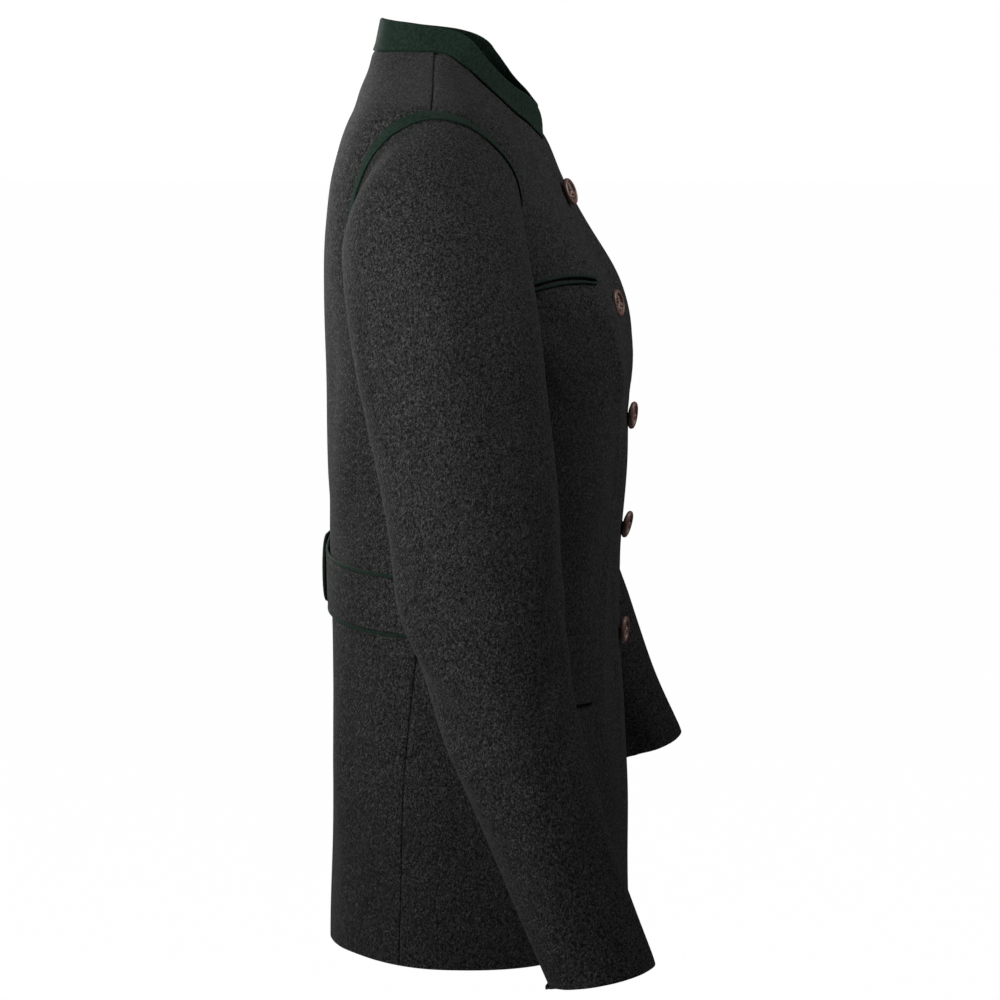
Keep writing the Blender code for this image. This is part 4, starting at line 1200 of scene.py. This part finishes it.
def button_seat(number):
    """The middle of the button's back, the way it faces, and the place on the cloth under it."""
    turn_degrees, nod_degrees = BUTTON_SEATS[number]
    sizes = bpy.context.scene.jacket_sizes
    z = BUTTON_TOP - number * BUTTON_SPACING
    normal = Vector(body_normal(0.0, z))
    turn = Matrix.Rotation(math.radians(-turn_degrees), 3, "Z")
    facing = turn @ Matrix.Rotation(math.radians(nod_degrees), 3, "X") @ normal
    tilt = normal.angle(facing)
    low = sizes.button_radius * math.sin(tilt)
    high = sizes.button_thickness * math.cos(tilt)
    stand_off = max(out * low - up * high for out, up in BUTTON_PROFILE)
    form, rise = Vector(body_point(0.0, z)), float(lap_rise(0.0))
    cloth = form + normal * (rise + float(body_rise(0.0, z)))
    return form + normal * (rise + BUTTON_SEAT_GAP + stand_off), facing, cloth


def build_buttons():
    sizes = bpy.context.scene.jacket_sizes
    profile = button_profile()
    turns = 2 * math.pi * np.arange(BUTTON_COLUMNS + 1) / BUTTON_COLUMNS
    out = profile[:, 0][:, None]
    x, y = out * np.cos(turns), out * np.sin(turns)
    on_face = np.zeros(out.shape)
    on_face[len(profile) - FIELD_ROWS :] = 1.0
    sunk = on_face * ease((RIM_SHARE - out) / FIELD_FADE)
    for number in range(len(BUTTON_SEATS)):
        spin = math.radians(BUTTON_SPIN[0] + BUTTON_SPIN[1] * number)
        field_x = (x * math.cos(spin) + y * math.sin(spin)) / RIM_SHARE
        field_y = (-x * math.sin(spin) + y * math.cos(spin)) / RIM_SHARE
        carved = carving(field_x, field_y) * on_face * ease((RIM_SHARE - out) / CARVING_FADE)
        up = profile[:, 1][:, None] * sizes.button_thickness
        up = up + CARVING_DEPTH * (carved - CARVING_MIDDLE * sunk)
        seat, facing, cloth = button_seat(number)
        turn = Vector((0, 0, 1)).rotation_difference(facing).to_matrix().to_4x4()
        place = Matrix.Translation(seat) @ turn
        spots = stacked(x * sizes.button_radius, y * sizes.button_radius, up).tolist()
        marks = np.where(on_face > 0, carved, RIM_LEVEL).tolist()
        fields = np.broadcast_to(sunk, x.shape).tolist()
        bm = bmesh.new()
        carving_layer = bm.verts.layers.float.new("carving")
        field_layer = bm.verts.layers.float.new("field")
        bmesh.ops.create_grid(bm, x_segments=BUTTON_COLUMNS, y_segments=len(profile) - 1, size=0.5)
        for vert, row, column in list(grid_places(bm, len(profile), BUTTON_COLUMNS + 1)):
            column = column % BUTTON_COLUMNS
            vert.co = place @ Vector(spots[row][column])
            vert[carving_layer] = marks[row][column]
            vert[field_layer] = fields[row][column]
        node = f"button_{number + 1}"
        piece_object(f"{node}_antler", bm, "carved_antler", node)
        build_shank(node, seat, cloth, facing)


def build_shank(node, seat, cloth, facing):
    """Thread wound between the cloth and the back of the button."""
    end = seat + facing * BUTTON_SEAT_GAP
    route = np.array([cloth.lerp(end, t) for t in np.linspace(0.0, 1.0, SHANK_SAMPLES)])
    normals = np.tile(np.array((1.0, 0.0, 0.0)), (len(route), 1))
    tube(f"{node}_shank", route, normals, SHANK_RADIUS, "dark_thread")


def build_buttonholes():
    """A close row of stitches along each side of a slit that starts under the button."""
    lines = []
    turns = np.linspace(0.0, math.pi, BUTTONHOLE_SAMPLES)
    for number in range(len(BUTTON_SEATS)):
        z = BUTTON_TOP - number * BUTTON_SPACING
        for way in (-1, 1):
            along = BUTTONHOLE_MIDDLE_X + way * BUTTONHOLE_HALF_LENGTH * np.cos(turns)
            height = z + way * BUTTONHOLE_HALF_WIDTH * np.minimum(np.sin(turns) * SLIT_END_STEEPNESS, 1.0)
            angle = np.arctan2(along, -body_point(0.0, z)[1])
            points, normals = body_point(angle, height), body_normal(angle, height)
            rise = lap_rise(-along) + body_rise(np.mod(angle, 2 * math.pi), height)
            lines.append((points + normals * (rise + BUTTONHOLE_LIFT)[..., None], normals))
    stitches("buttonhole_stitches", lines, BUTTONHOLE_PITCH, BUTTONHOLE_HALF_SIZES, "dark_thread")


# ---------------------------------------------------------------- finishes


class Nodes:
    """Adds nodes to one tree and joins them. A value or a socket may stand for any input."""

    def __init__(self, tree):
        self.tree = tree

    def add(self, kind, inputs=(), **settings):
        node = self.tree.nodes.new(kind)
        for name, value in settings.items():
            setattr(node, name, value)
        for key, value in dict(inputs).items():
            self.feed(node.inputs[key], value)
        return node

    def feed(self, socket, value):
        if isinstance(value, bpy.types.NodeSocket):
            self.tree.links.new(value, socket)
        else:
            socket.default_value = value

    def math(self, operation, a, b=0.0, clamp=False):
        node = self.add("ShaderNodeMath", {0: a, 1: b}, operation=operation, use_clamp=clamp)
        return node.outputs[0]

    def spread(self, value, low, high, to_low=0.0, to_high=1.0):
        """value from low to high, smoothly made to_low to to_high."""
        ends = {"Value": value, "From Min": low, "From Max": high, "To Min": to_low, "To Max": to_high}
        return self.add("ShaderNodeMapRange", ends, interpolation_type="SMOOTHSTEP").outputs["Result"]

    def mix(self, share, a, b, blend_type="MIX"):
        node = self.add("ShaderNodeMix", data_type="RGBA", blend_type=blend_type)
        for socket, value in ((node.inputs[0], share), (node.inputs[6], a), (node.inputs[7], b)):
            self.feed(socket, value)
        return node.outputs[2]

    def scaled(self, vector, by):
        return self.add("ShaderNodeVectorMath", {0: vector, "Scale": by}, operation="SCALE").outputs[0]

    def around_middle(self, value, share):
        """value less a half, times share."""
        return self.math("MULTIPLY", self.math("SUBTRACT", value, 0.5), share)

    def noise(self, vector, scale, detail=1.0, roughness=0.5):
        inputs = {"Vector": vector, "Scale": scale, "Detail": detail, "Roughness": roughness}
        return self.add("ShaderNodeTexNoise", inputs).outputs["Fac"]

    def lying(self, vector, degrees, stretch):
        """The pattern stretched along an axis that is turned by these angles."""
        turn = tuple(math.radians(angle) for angle in degrees)
        inputs = {"Vector": vector, "Rotation": turn, "Scale": (1.0, 1.0, stretch)}
        return self.add("ShaderNodeMapping", inputs, vector_type="TEXTURE").outputs["Vector"]


def new_group(name, inputs, outputs):
    """A shader group with named sockets. inputs lists (name, kind, default)."""
    tree = bpy.data.node_groups.new(name, "ShaderNodeTree")
    for label, kind, default in inputs:
        socket = tree.interface.new_socket(label, in_out="INPUT", socket_type=f"NodeSocket{kind}")
        if default is not None:
            socket.default_value = default
    for label, kind in outputs:
        tree.interface.new_socket(label, in_out="OUTPUT", socket_type=f"NodeSocket{kind}")
    nodes = Nodes(tree)
    entry, leaving = nodes.add("NodeGroupInput"), nodes.add("NodeGroupOutput")
    return nodes, entry.outputs, leaving.inputs


# Fibres lie every way in milled cloth: angles of the long axis in degrees, and the pattern's scale.
FIBRE_LAYS = (((-18, 32, 0), 0.62), ((-48, -63, 0), 0.69), ((37, 68, 0), 0.76), ((24, -19, 0), 0.83))
FIBRE_STRETCH = 2.2
FLECK_LAYS = (((30, -40, 0), 0.95), ((-25, 70, 0), 1.15), ((8, 15, 0), 1.35))
FLECK_STRETCH = 4.0
FLECK_LEVELS = (0.68, 0.76)  # of the noise: only its peaks are flecks
GRAIN_SCALE = 2.1
GRAIN_SHARE = 0.22
SHADE_HALF_WIDTH = 0.075  # on each side of the middle, from dark to light at a contrast of 1
SHADE_HEIGHT = 0.75
CLOUD_SCALE = 26.0
PATCH_SCALE = 9.0
# Painted shade: the cloth is darkened within this distance of each edge and seam, where shade falls on the
# rolled edge and in the seam groove.
PAINTED_EDGE_SHADE_WIDTH = 0.0011
# Painted highlight: a band a little lighter beside each edge and seam, the sheen of pressed cloth.
PAINTED_HIGHLIGHT_REACH = (0.0012, 0.0045)
PAINTED_HIGHLIGHT_GAIN = 1.07
WOOL_BUMP = 0.55
WOOL_SPECULAR = 0.18
ANTLER_GRAIN_SCALE = 900.0
ANTLER_GRAIN_STRETCH = 3.0
ANTLER_BLOTCH_SCALE = 330.0
ANTLER_BLOTCH_SHARE = 0.9  # how far the blotches shift the colours of the carving
ANTLER_LEVELS = (0.35, 0.80, 1.15)  # of the carving: painted shade in the ground, the leaves, and a painted highlight on the tops
GRAIN_LEVELS = (0.3, 0.7)
ANTLER_BUMP = 0.35
ANTLER_BUMP_DEPTH = 0.0003
ANTLER_COAT = 0.25
ANTLER_COAT_ROUGHNESS = 0.25


def milled_wool_group():
    """Matted fibres of several shades: where they lie light and dark, and how high."""
    nodes, given, out = new_group(
        "milled_wool",
        (
            ("Vector", "Vector", None),
            ("Fibre Size", "Float", 0.0011),
            ("Contrast", "Float", 1.0),
            ("Fleck Share", "Float", 0.1),
            ("Dark", "Color", (0.01, 0.01, 0.01, 1.0)),
            ("Light", "Color", (0.05, 0.05, 0.05, 1.0)),
            ("Fleck", "Color", (0.15, 0.15, 0.15, 1.0)),
        ),
        (("Colour", "Color"), ("Height", "Float")),
    )
    per_fibre = nodes.math("DIVIDE", 1.0, given["Fibre Size"])
    vector = nodes.scaled(given["Vector"], per_fibre)
    mass = None
    for lay, scale in FIBRE_LAYS:
        fibre = nodes.noise(nodes.lying(vector, lay, FIBRE_STRETCH), scale, 1.0, 0.6)
        mass = fibre if mass is None else nodes.math("ADD", mass, fibre)
    mass = nodes.math("MULTIPLY", mass, 1 / len(FIBRE_LAYS))
    grain = nodes.noise(vector, GRAIN_SCALE, 1.0, 0.6)
    mass = nodes.math("ADD", mass, nodes.around_middle(grain, GRAIN_SHARE))
    half_width = nodes.math("DIVIDE", SHADE_HALF_WIDTH, given["Contrast"])
    low, high = nodes.math("SUBTRACT", 0.5, half_width), nodes.math("ADD", 0.5, half_width)
    shade = nodes.spread(mass, low, high)
    flecks = None
    for lay, scale in FLECK_LAYS:
        fleck = nodes.noise(nodes.lying(vector, lay, FLECK_STRETCH), scale, 0.0)
        fleck = nodes.spread(fleck, *FLECK_LEVELS)
        flecks = fleck if flecks is None else nodes.math("MAXIMUM", flecks, fleck)
    flecks = nodes.math("MULTIPLY", flecks, given["Fleck Share"], clamp=True)
    colour = nodes.mix(flecks, nodes.mix(shade, given["Dark"], given["Light"]), given["Fleck"])
    nodes.feed(out["Colour"], colour)
    nodes.feed(out["Height"], nodes.math("ADD", nodes.math("MULTIPLY", shade, SHADE_HEIGHT), flecks))


def cloth_dye_and_painted_edges_group():
    """Cloudy dyeing over the whole piece, painted shade along its edges and seams, and a painted highlight
    in a band just beside them.
    """
    nodes, given, out = new_group(
        "cloth_dye_and_painted_edges",
        (
            ("Vector", "Vector", None),
            ("Colour", "Color", (0.5, 0.5, 0.5, 1.0)),
            ("Edge Distance", "Float", 1.0),
            ("Cloudiness", "Float", 0.1),
            ("Painted Edge Shade", "Float", 0.7),
        ),
        (("Colour", "Color"),),
    )
    cloud = nodes.noise(given["Vector"], CLOUD_SCALE, 3.0, 0.65)
    patch = nodes.noise(nodes.lying(given["Vector"], (12.0, 0.0, 0.0), 2.5), PATCH_SCALE, 2.0, 0.5)
    cloud = nodes.math("SUBTRACT", nodes.math("ADD", cloud, patch), 1.0)
    cloud = nodes.math("ADD", 1.0, nodes.math("MULTIPLY", cloud, given["Cloudiness"]))
    # Painted shade along the edges and seams.
    edge = nodes.spread(given["Edge Distance"], 0.0, PAINTED_EDGE_SHADE_WIDTH, given["Painted Edge Shade"], 1.0)
    # Painted highlight in a band just beside the edges and seams.
    painted_highlight = nodes.spread(given["Edge Distance"], *PAINTED_HIGHLIGHT_REACH, PAINTED_HIGHLIGHT_GAIN, 1.0)
    shade = nodes.math("MULTIPLY", cloud, nodes.math("MULTIPLY", edge, painted_highlight))
    nodes.feed(out["Colour"], nodes.scaled(given["Colour"], shade))


def group_node(nodes, name, inputs):
    node = nodes.add("ShaderNodeGroup", node_tree=bpy.data.node_groups[name])
    for key, value in inputs.items():
        nodes.feed(node.inputs[key], value)
    return node.outputs


def start_material(name):
    made = bpy.data.materials.new(name)
    if made.name != name:
        raise RuntimeError(f"another material has the name {name}")
    made.use_nodes = True
    nodes = Nodes(made.node_tree)
    shader = made.node_tree.nodes["Principled BSDF"]
    place = nodes.add("ShaderNodeTexCoord").outputs["Object"]
    return nodes, shader, place


def attribute(nodes, name):
    return nodes.add("ShaderNodeAttribute", attribute_name=name).outputs["Fac"]


def wool_material(name, wool, nap, roughness, cloudiness=0.0, painted_edge_shade=None, bump=0.00035):
    """Milled wool. wool gives the inputs of the group, and nap the sheen's weight, roughness, tint."""
    nodes, shader, place = start_material(name)
    fibres = group_node(nodes, "milled_wool", {"Vector": place, **wool})
    colour = fibres["Colour"]
    # edge_distance drives painted shade along the edges and seams and a painted highlight just beside them.
    if painted_edge_shade is not None:
        inputs = {
            "Vector": place,
            "Colour": colour,
            "Edge Distance": attribute(nodes, "edge_distance"),
            "Cloudiness": cloudiness,
            "Painted Edge Shade": painted_edge_shade,
        }
        colour = group_node(nodes, "cloth_dye_and_painted_edges", inputs)["Colour"]
    nodes.feed(shader.inputs["Base Color"], colour)
    relief = {"Height": fibres["Height"], "Strength": WOOL_BUMP, "Distance": bump}
    nodes.feed(shader.inputs["Normal"], nodes.add("ShaderNodeBump", relief).outputs["Normal"])
    rough = nodes.spread(fibres["Height"], 0.0, 1.0, roughness + 0.04, roughness - 0.08)
    nodes.feed(shader.inputs["Roughness"], rough)
    weight, sheen_roughness, tint = nap
    shader.inputs["Sheen Weight"].default_value = weight
    shader.inputs["Sheen Roughness"].default_value = sheen_roughness
    shader.inputs["Sheen Tint"].default_value = tint
    shader.inputs["Specular IOR Level"].default_value = WOOL_SPECULAR


def antler_material():
    """Antler with a smooth brown-pink rim; the carving has painted shade, dark red-brown, in its deep parts
    and a painted highlight, cream, on its tops.
    """
    finish = bpy.context.scene.jacket_finish
    nodes, shader, place = start_material("carved_antler")
    carved, field = attribute(nodes, "carving"), attribute(nodes, "field")
    along_grain = nodes.lying(place, (20.0, 10.0, 0.0), ANTLER_GRAIN_STRETCH)
    grain = nodes.noise(along_grain, ANTLER_GRAIN_SCALE, 3.0, 0.6)
    blotch = nodes.noise(place, ANTLER_BLOTCH_SCALE, 2.0, 0.6)
    level = nodes.math("ADD", carved, nodes.around_middle(blotch, ANTLER_BLOTCH_SHARE))
    # Painted shade in the deep parts of the carving, in two blotchy colours.
    low = nodes.mix(nodes.spread(blotch, 0.40, 0.62), (*finish.antler_shaded_ground, 1), (*finish.antler_shadow, 1))
    relief = nodes.mix(nodes.spread(level, *ANTLER_LEVELS[:2]), low, (*finish.antler_middle, 1))
    # Painted highlight, cream, on the tops of the relief.
    relief = nodes.mix(nodes.spread(level, *ANTLER_LEVELS[1:]), relief, (*finish.antler_highlit_top, 1))
    rim_shade = nodes.spread(grain, *GRAIN_LEVELS, 0.78, 1.14)
    rim = nodes.scaled((*finish.antler_rim,), rim_shade)
    nodes.feed(shader.inputs["Base Color"], nodes.mix(nodes.spread(field, 0.2, 0.9), rim, relief))
    nodes.feed(shader.inputs["Roughness"], nodes.spread(grain, *GRAIN_LEVELS, 0.34, 0.52))
    relief = {"Height": grain, "Strength": ANTLER_BUMP, "Distance": ANTLER_BUMP_DEPTH}
    nodes.feed(shader.inputs["Normal"], nodes.add("ShaderNodeBump", relief).outputs["Normal"])
    shader.inputs["Coat Weight"].default_value = ANTLER_COAT
    shader.inputs["Coat Roughness"].default_value = ANTLER_COAT_ROUGHNESS


def build_finishes():
    finish = bpy.context.scene.jacket_finish
    milled_wool_group()
    cloth_dye_and_painted_edges_group()
    loden = {
        "Fibre Size": finish.loden_fibre,
        "Contrast": 0.80,
        "Fleck Share": 0.55,
        "Dark": (*finish.loden_dark, 1),
        "Light": (*finish.loden_light, 1),
        "Fleck": (*finish.loden_fleck, 1),
    }
    felt = {
        "Fibre Size": finish.felt_fibre,
        "Contrast": 0.8,
        "Fleck Share": 0.25,
        "Dark": (*finish.felt_dark, 1),
        "Light": (*finish.felt_light, 1),
        "Fleck": (*finish.felt_fleck, 1),
    }
    dark = {**loden, "Fibre Size": finish.felt_fibre, "Light": (*finish.loden_dark, 1), "Fleck Share": 0.1}
    loden_nap = (finish.nap, 0.45, (0.62, 0.62, 0.64, 1.0))
    felt_nap = (finish.nap, 0.50, (0.45, 0.62, 0.52, 1.0))
    wool_material("loden_wool", loden, loden_nap, 0.92, cloudiness=0.34, painted_edge_shade=0.62)
    wool_material("felt_wool", felt, felt_nap, 0.90, cloudiness=0.22, painted_edge_shade=0.75, bump=0.0002)
    wool_material("green_piping", felt, felt_nap, 0.85, bump=0.0002)
    wool_material("green_thread", felt, felt_nap, 0.80, bump=0.0001)
    wool_material("dark_thread", dark, loden_nap, 0.80, bump=0.0001)
    antler_material()


# ---------------------------------------------------------------- stage

FLOOR_SIZE = 60.0
PAPER_COLOUR = (0.86, 0.86, 0.86, 1.0)
PAPER_ROUGHNESS = 0.9
PAPER_GLOW = 1.1
PAPER_GLOW_SHARE = 0.9  # only what the camera sees glows
WHITE = (1.0, 1.0, 1.0, 1.0)
VIEW_REACH = 100.0
# name, place, aim, size, spread in degrees, share of the power
LIGHTS = (
    ("back_light", (-0.3, 2.2, 0.8), (0.0, 0.0, -0.25), 1.4, 180.0, 1.0),
    ("right_key", (-1.3, 0.75, 0.1), (-0.2, 0.05, -0.05), 0.8, 60.0, 0.19),
    ("left_key", (1.3, 0.75, 0.1), (0.2, 0.05, -0.05), 0.8, 60.0, 0.19),
    ("front_light", (0.1, -0.75, 0.35), (-0.05, -0.1, -0.15), 0.4, 150.0, 0.20),
)


def aim_at(obj, target):
    obj.rotation_euler = (Vector(target) - obj.location).to_track_quat("-Z", "Y").to_euler()


def build_stage():
    stage = bpy.context.scene.jacket_stage
    nodes, shader, _ = start_material("pale_paper")
    shader.inputs["Base Color"].default_value = PAPER_COLOUR
    shader.inputs["Roughness"].default_value = PAPER_ROUGHNESS
    seen = nodes.add("ShaderNodeLightPath").outputs["Is Camera Ray"]
    glow = nodes.add("ShaderNodeEmission", {"Color": WHITE, "Strength": PAPER_GLOW})
    share = nodes.math("MULTIPLY", seen, PAPER_GLOW_SHARE)
    shown = nodes.add("ShaderNodeMixShader", {0: share, 1: shader.outputs[0], 2: glow.outputs[0]})
    output = nodes.tree.nodes["Material Output"]
    nodes.feed(output.inputs["Surface"], shown.outputs[0])

    bm = bmesh.new()
    bmesh.ops.create_grid(bm, x_segments=1, y_segments=1, size=FLOOR_SIZE / 2)
    bmesh.ops.translate(bm, verts=bm.verts[:], vec=(0.0, 0.0, stage.floor_level))
    floor = mesh_object("floor", bm, "pale_paper")

    for name, place, aim, size, spread, share in LIGHTS:
        light = bpy.data.lights.new(name, "AREA")
        light.size = size
        light.spread = math.radians(spread)
        light.energy = stage.light_power * share
        lamp = new_object(name, light)
        lamp.location = place
        lamp.visible_camera = False
        aim_at(lamp, aim)

    world = bpy.data.worlds.new("studio_air")
    world.use_nodes = True
    air = Nodes(world.node_tree)
    background = world.node_tree.nodes["Background"]
    seen = air.add("ShaderNodeLightPath").outputs["Is Camera Ray"]
    air.feed(background.inputs["Strength"], air.spread(seen, 0.0, 1.0, stage.air_light, 1.0))
    background.inputs["Color"].default_value = WHITE
    bpy.context.scene.world = world

    camera = bpy.data.cameras.new("camera")
    camera.lens = stage.lens
    camera.clip_end = VIEW_REACH
    eye = new_object("camera", camera)
    eye.location = stage.camera_place
    aim_at(eye, stage.camera_aim)
    bpy.context.scene.camera = eye
    bpy.context.scene.view_settings.view_transform = "Standard"


# ---------------------------------------------------------------- add-on


def length_prop(name, description, default):
    return FloatProperty(name=name, description=description, default=default, min=0.0, unit="LENGTH")


def colour_prop(name, description, default):
    limits = {"min": 0.0, "max": 1.0}
    return FloatVectorProperty(
        name=name, description=description, default=default, subtype="COLOR", size=3, **limits
    )


class JacketSizes(bpy.types.PropertyGroup):
    cloth_wall: length_prop("Cloth wall", "Thickness of the milled loden", 0.0020)
    felt_wall: length_prop("Felt wall", "Thickness of the armhole bands and pocket welts", 0.0012)
    collar_wall: length_prop("Collar wall", "Thickness of the two felts and the canvas", 0.0028)
    piping_radius: length_prop("Piping radius", "Radius of the cord round the belt", 0.0012)
    button_radius: length_prop("Button radius", "Radius of the antler buttons", 0.0108)
    button_thickness: length_prop("Button thickness", "Thickness of a button at its rim", 0.0048)
    fold_strength: FloatProperty(
        name="Fold strength",
        description="How deep the folds in the cloth are, beside their own depths",
        default=1.35,
        min=0.0,
        max=1.5,
        subtype="FACTOR",
    )


class JacketFinish(bpy.types.PropertyGroup):
    loden_fibre: length_prop("Loden fibre", "Size of the clusters of fibres in the loden", 0.0010)
    felt_fibre: length_prop("Felt fibre", "Size of the clusters of fibres in the felt", 0.0010)
    loden_dark: colour_prop("Loden, dark fibres", "Colour of the dark wool", (0.0095, 0.0095, 0.0098))
    loden_light: colour_prop("Loden, light fibres", "Colour of the light wool", (0.062, 0.062, 0.061))
    loden_fleck: colour_prop("Loden, flecks", "Colour of the stray light fibres", (0.200, 0.200, 0.195))
    felt_dark: colour_prop("Felt, dark fibres", "Colour of the felt between fibres", (0.012, 0.028, 0.019))
    felt_light: colour_prop("Felt, light fibres", "Colour of the felt's fibres", (0.026, 0.053, 0.038))
    felt_fleck: colour_prop("Felt, flecks", "Colour of stray light fibres", (0.05, 0.085, 0.065))
    antler_rim: colour_prop("Button rim", "Colour of the smooth rim", (0.36, 0.20, 0.165))
    # The ground and the shadow colour are painted shade in the deep parts of the carving.
    antler_shaded_ground: colour_prop("Button ground", "Colour in the deep parts", (0.10, 0.035, 0.024))
    antler_shadow: colour_prop("Button shadow", "Second colour in the deep parts", (0.17, 0.14, 0.17))
    antler_middle: colour_prop("Button relief", "Colour of the carved leaves", (0.42, 0.22, 0.17))
    # The top colour is a painted highlight on the tops of the relief.
    antler_highlit_top: colour_prop("Button tops", "Colour of the rubbed tops", (0.66, 0.52, 0.40))
    nap: FloatProperty(
        name="Nap", description="Weight of the soft sheen", default=0.12, min=0.0, max=1.0, subtype="FACTOR"
    )


class JacketStage(bpy.types.PropertyGroup):
    camera_place: FloatVectorProperty(
        name="Camera place",
        description="Where the camera stands",
        default=(-2.1916, -0.2217, -0.0020),
        subtype="TRANSLATION",
    )
    camera_aim: FloatVectorProperty(
        name="Camera aim",
        description="Point in the middle of the view",
        default=(0.0, -0.030, -0.340),
        subtype="TRANSLATION",
    )
    lens: FloatProperty(name="Lens", description="Focal length in millimetres", default=103.4, min=1.0)
    floor_level: FloatProperty(
        name="Floor level", description="Height of the floor", default=-1.35, unit="LENGTH"
    )
    light_power: FloatProperty(
        name="Light power", description="Power of the back light in watts", default=9.0, min=0.0
    )
    air_light: FloatProperty(
        name="Air light", description="Strength of the light from all round", default=0.008, min=0.0
    )


class JACKET_OT_finishes(bpy.types.Operator):
    """Make the loden, felt, thread and antler materials"""

    bl_idname = "jacket.finishes"
    bl_label = "Finishes"

    def execute(self, context):
        build_finishes()
        return {"FINISHED"}


class JACKET_OT_body(bpy.types.Operator):
    """Make the back and the two fronts of the body"""

    bl_idname = "jacket.body"
    bl_label = "Body"

    def execute(self, context):
        build_back()
        build_fronts()
        return {"FINISHED"}


class JACKET_OT_sleeves(bpy.types.Operator):
    """Make the two sleeves"""

    bl_idname = "jacket.sleeves"
    bl_label = "Sleeves"

    def execute(self, context):
        build_sleeves()
        return {"FINISHED"}


class JACKET_OT_collar(bpy.types.Operator):
    """Make the stand collar"""

    bl_idname = "jacket.collar"
    bl_label = "Collar"

    def execute(self, context):
        build_collar()
        return {"FINISHED"}


class JACKET_OT_bands(bpy.types.Operator):
    """Make the felt bands over the sleeve heads"""

    bl_idname = "jacket.bands"
    bl_label = "Armhole Bands"

    def execute(self, context):
        build_armhole_bands()
        return {"FINISHED"}


class JACKET_OT_pockets(bpy.types.Operator):
    """Make the chest pockets' piped edges and the hip pockets' flaps"""

    bl_idname = "jacket.pockets"
    bl_label = "Pockets"

    def execute(self, context):
        build_chest_welts()
        build_hip_flaps()
        return {"FINISHED"}


class JACKET_OT_belt(bpy.types.Operator):
    """Make the two halves of the back belt with their piping and stitches"""

    bl_idname = "jacket.belt"
    bl_label = "Back Belt"

    def execute(self, context):
        build_belt()
        return {"FINISHED"}


class JACKET_OT_buttons(bpy.types.Operator):
    """Make the carved buttons, their shanks and the buttonholes"""

    bl_idname = "jacket.buttons"
    bl_label = "Buttons"

    def execute(self, context):
        build_buttons()
        build_buttonholes()
        return {"FINISHED"}


class JACKET_OT_stage(bpy.types.Operator):
    """Set up the floor, the soft lights and the camera"""

    bl_idname = "jacket.stage"
    bl_label = "Stage"

    def execute(self, context):
        build_stage()
        return {"FINISHED"}


STEPS = (
    JACKET_OT_finishes,
    JACKET_OT_body,
    JACKET_OT_sleeves,
    JACKET_OT_collar,
    JACKET_OT_bands,
    JACKET_OT_pockets,
    JACKET_OT_belt,
    JACKET_OT_buttons,
    JACKET_OT_stage,
)


class JACKET_PT_panel(bpy.types.Panel):
    """Lists the sizes, the finishes and the steps"""

    bl_label = "Loden Jacket"
    bl_space_type = "VIEW_3D"
    bl_region_type = "UI"
    bl_category = "Jacket"

    def draw(self, context):
        for step in STEPS:
            self.layout.operator(step.bl_idname, text=step.bl_label)
        for group in SETTINGS:
            settings = getattr(context.scene, group)
            box = self.layout.box()
            for name in settings.__annotations__:
                box.prop(settings, name)


SETTINGS = {"jacket_sizes": JacketSizes, "jacket_finish": JacketFinish, "jacket_stage": JacketStage}


def register():
    for cls in (*SETTINGS.values(), *STEPS, JACKET_PT_panel):
        bpy.utils.register_class(cls)
    for name, cls in SETTINGS.items():
        setattr(bpy.types.Scene, name, PointerProperty(type=cls))


def unregister():
    for name in SETTINGS:
        delattr(bpy.types.Scene, name)
    for cls in (JACKET_PT_panel, *STEPS[::-1], *SETTINGS.values()):
        bpy.utils.unregister_class(cls)


def main():
    register()
    bpy.ops.jacket.finishes()
    bpy.ops.jacket.body()
    bpy.ops.jacket.sleeves()
    bpy.ops.jacket.collar()
    bpy.ops.jacket.bands()
    bpy.ops.jacket.pockets()
    bpy.ops.jacket.belt()
    bpy.ops.jacket.buttons()
    bpy.ops.jacket.stage()


if __name__ == "__main__":
    main()
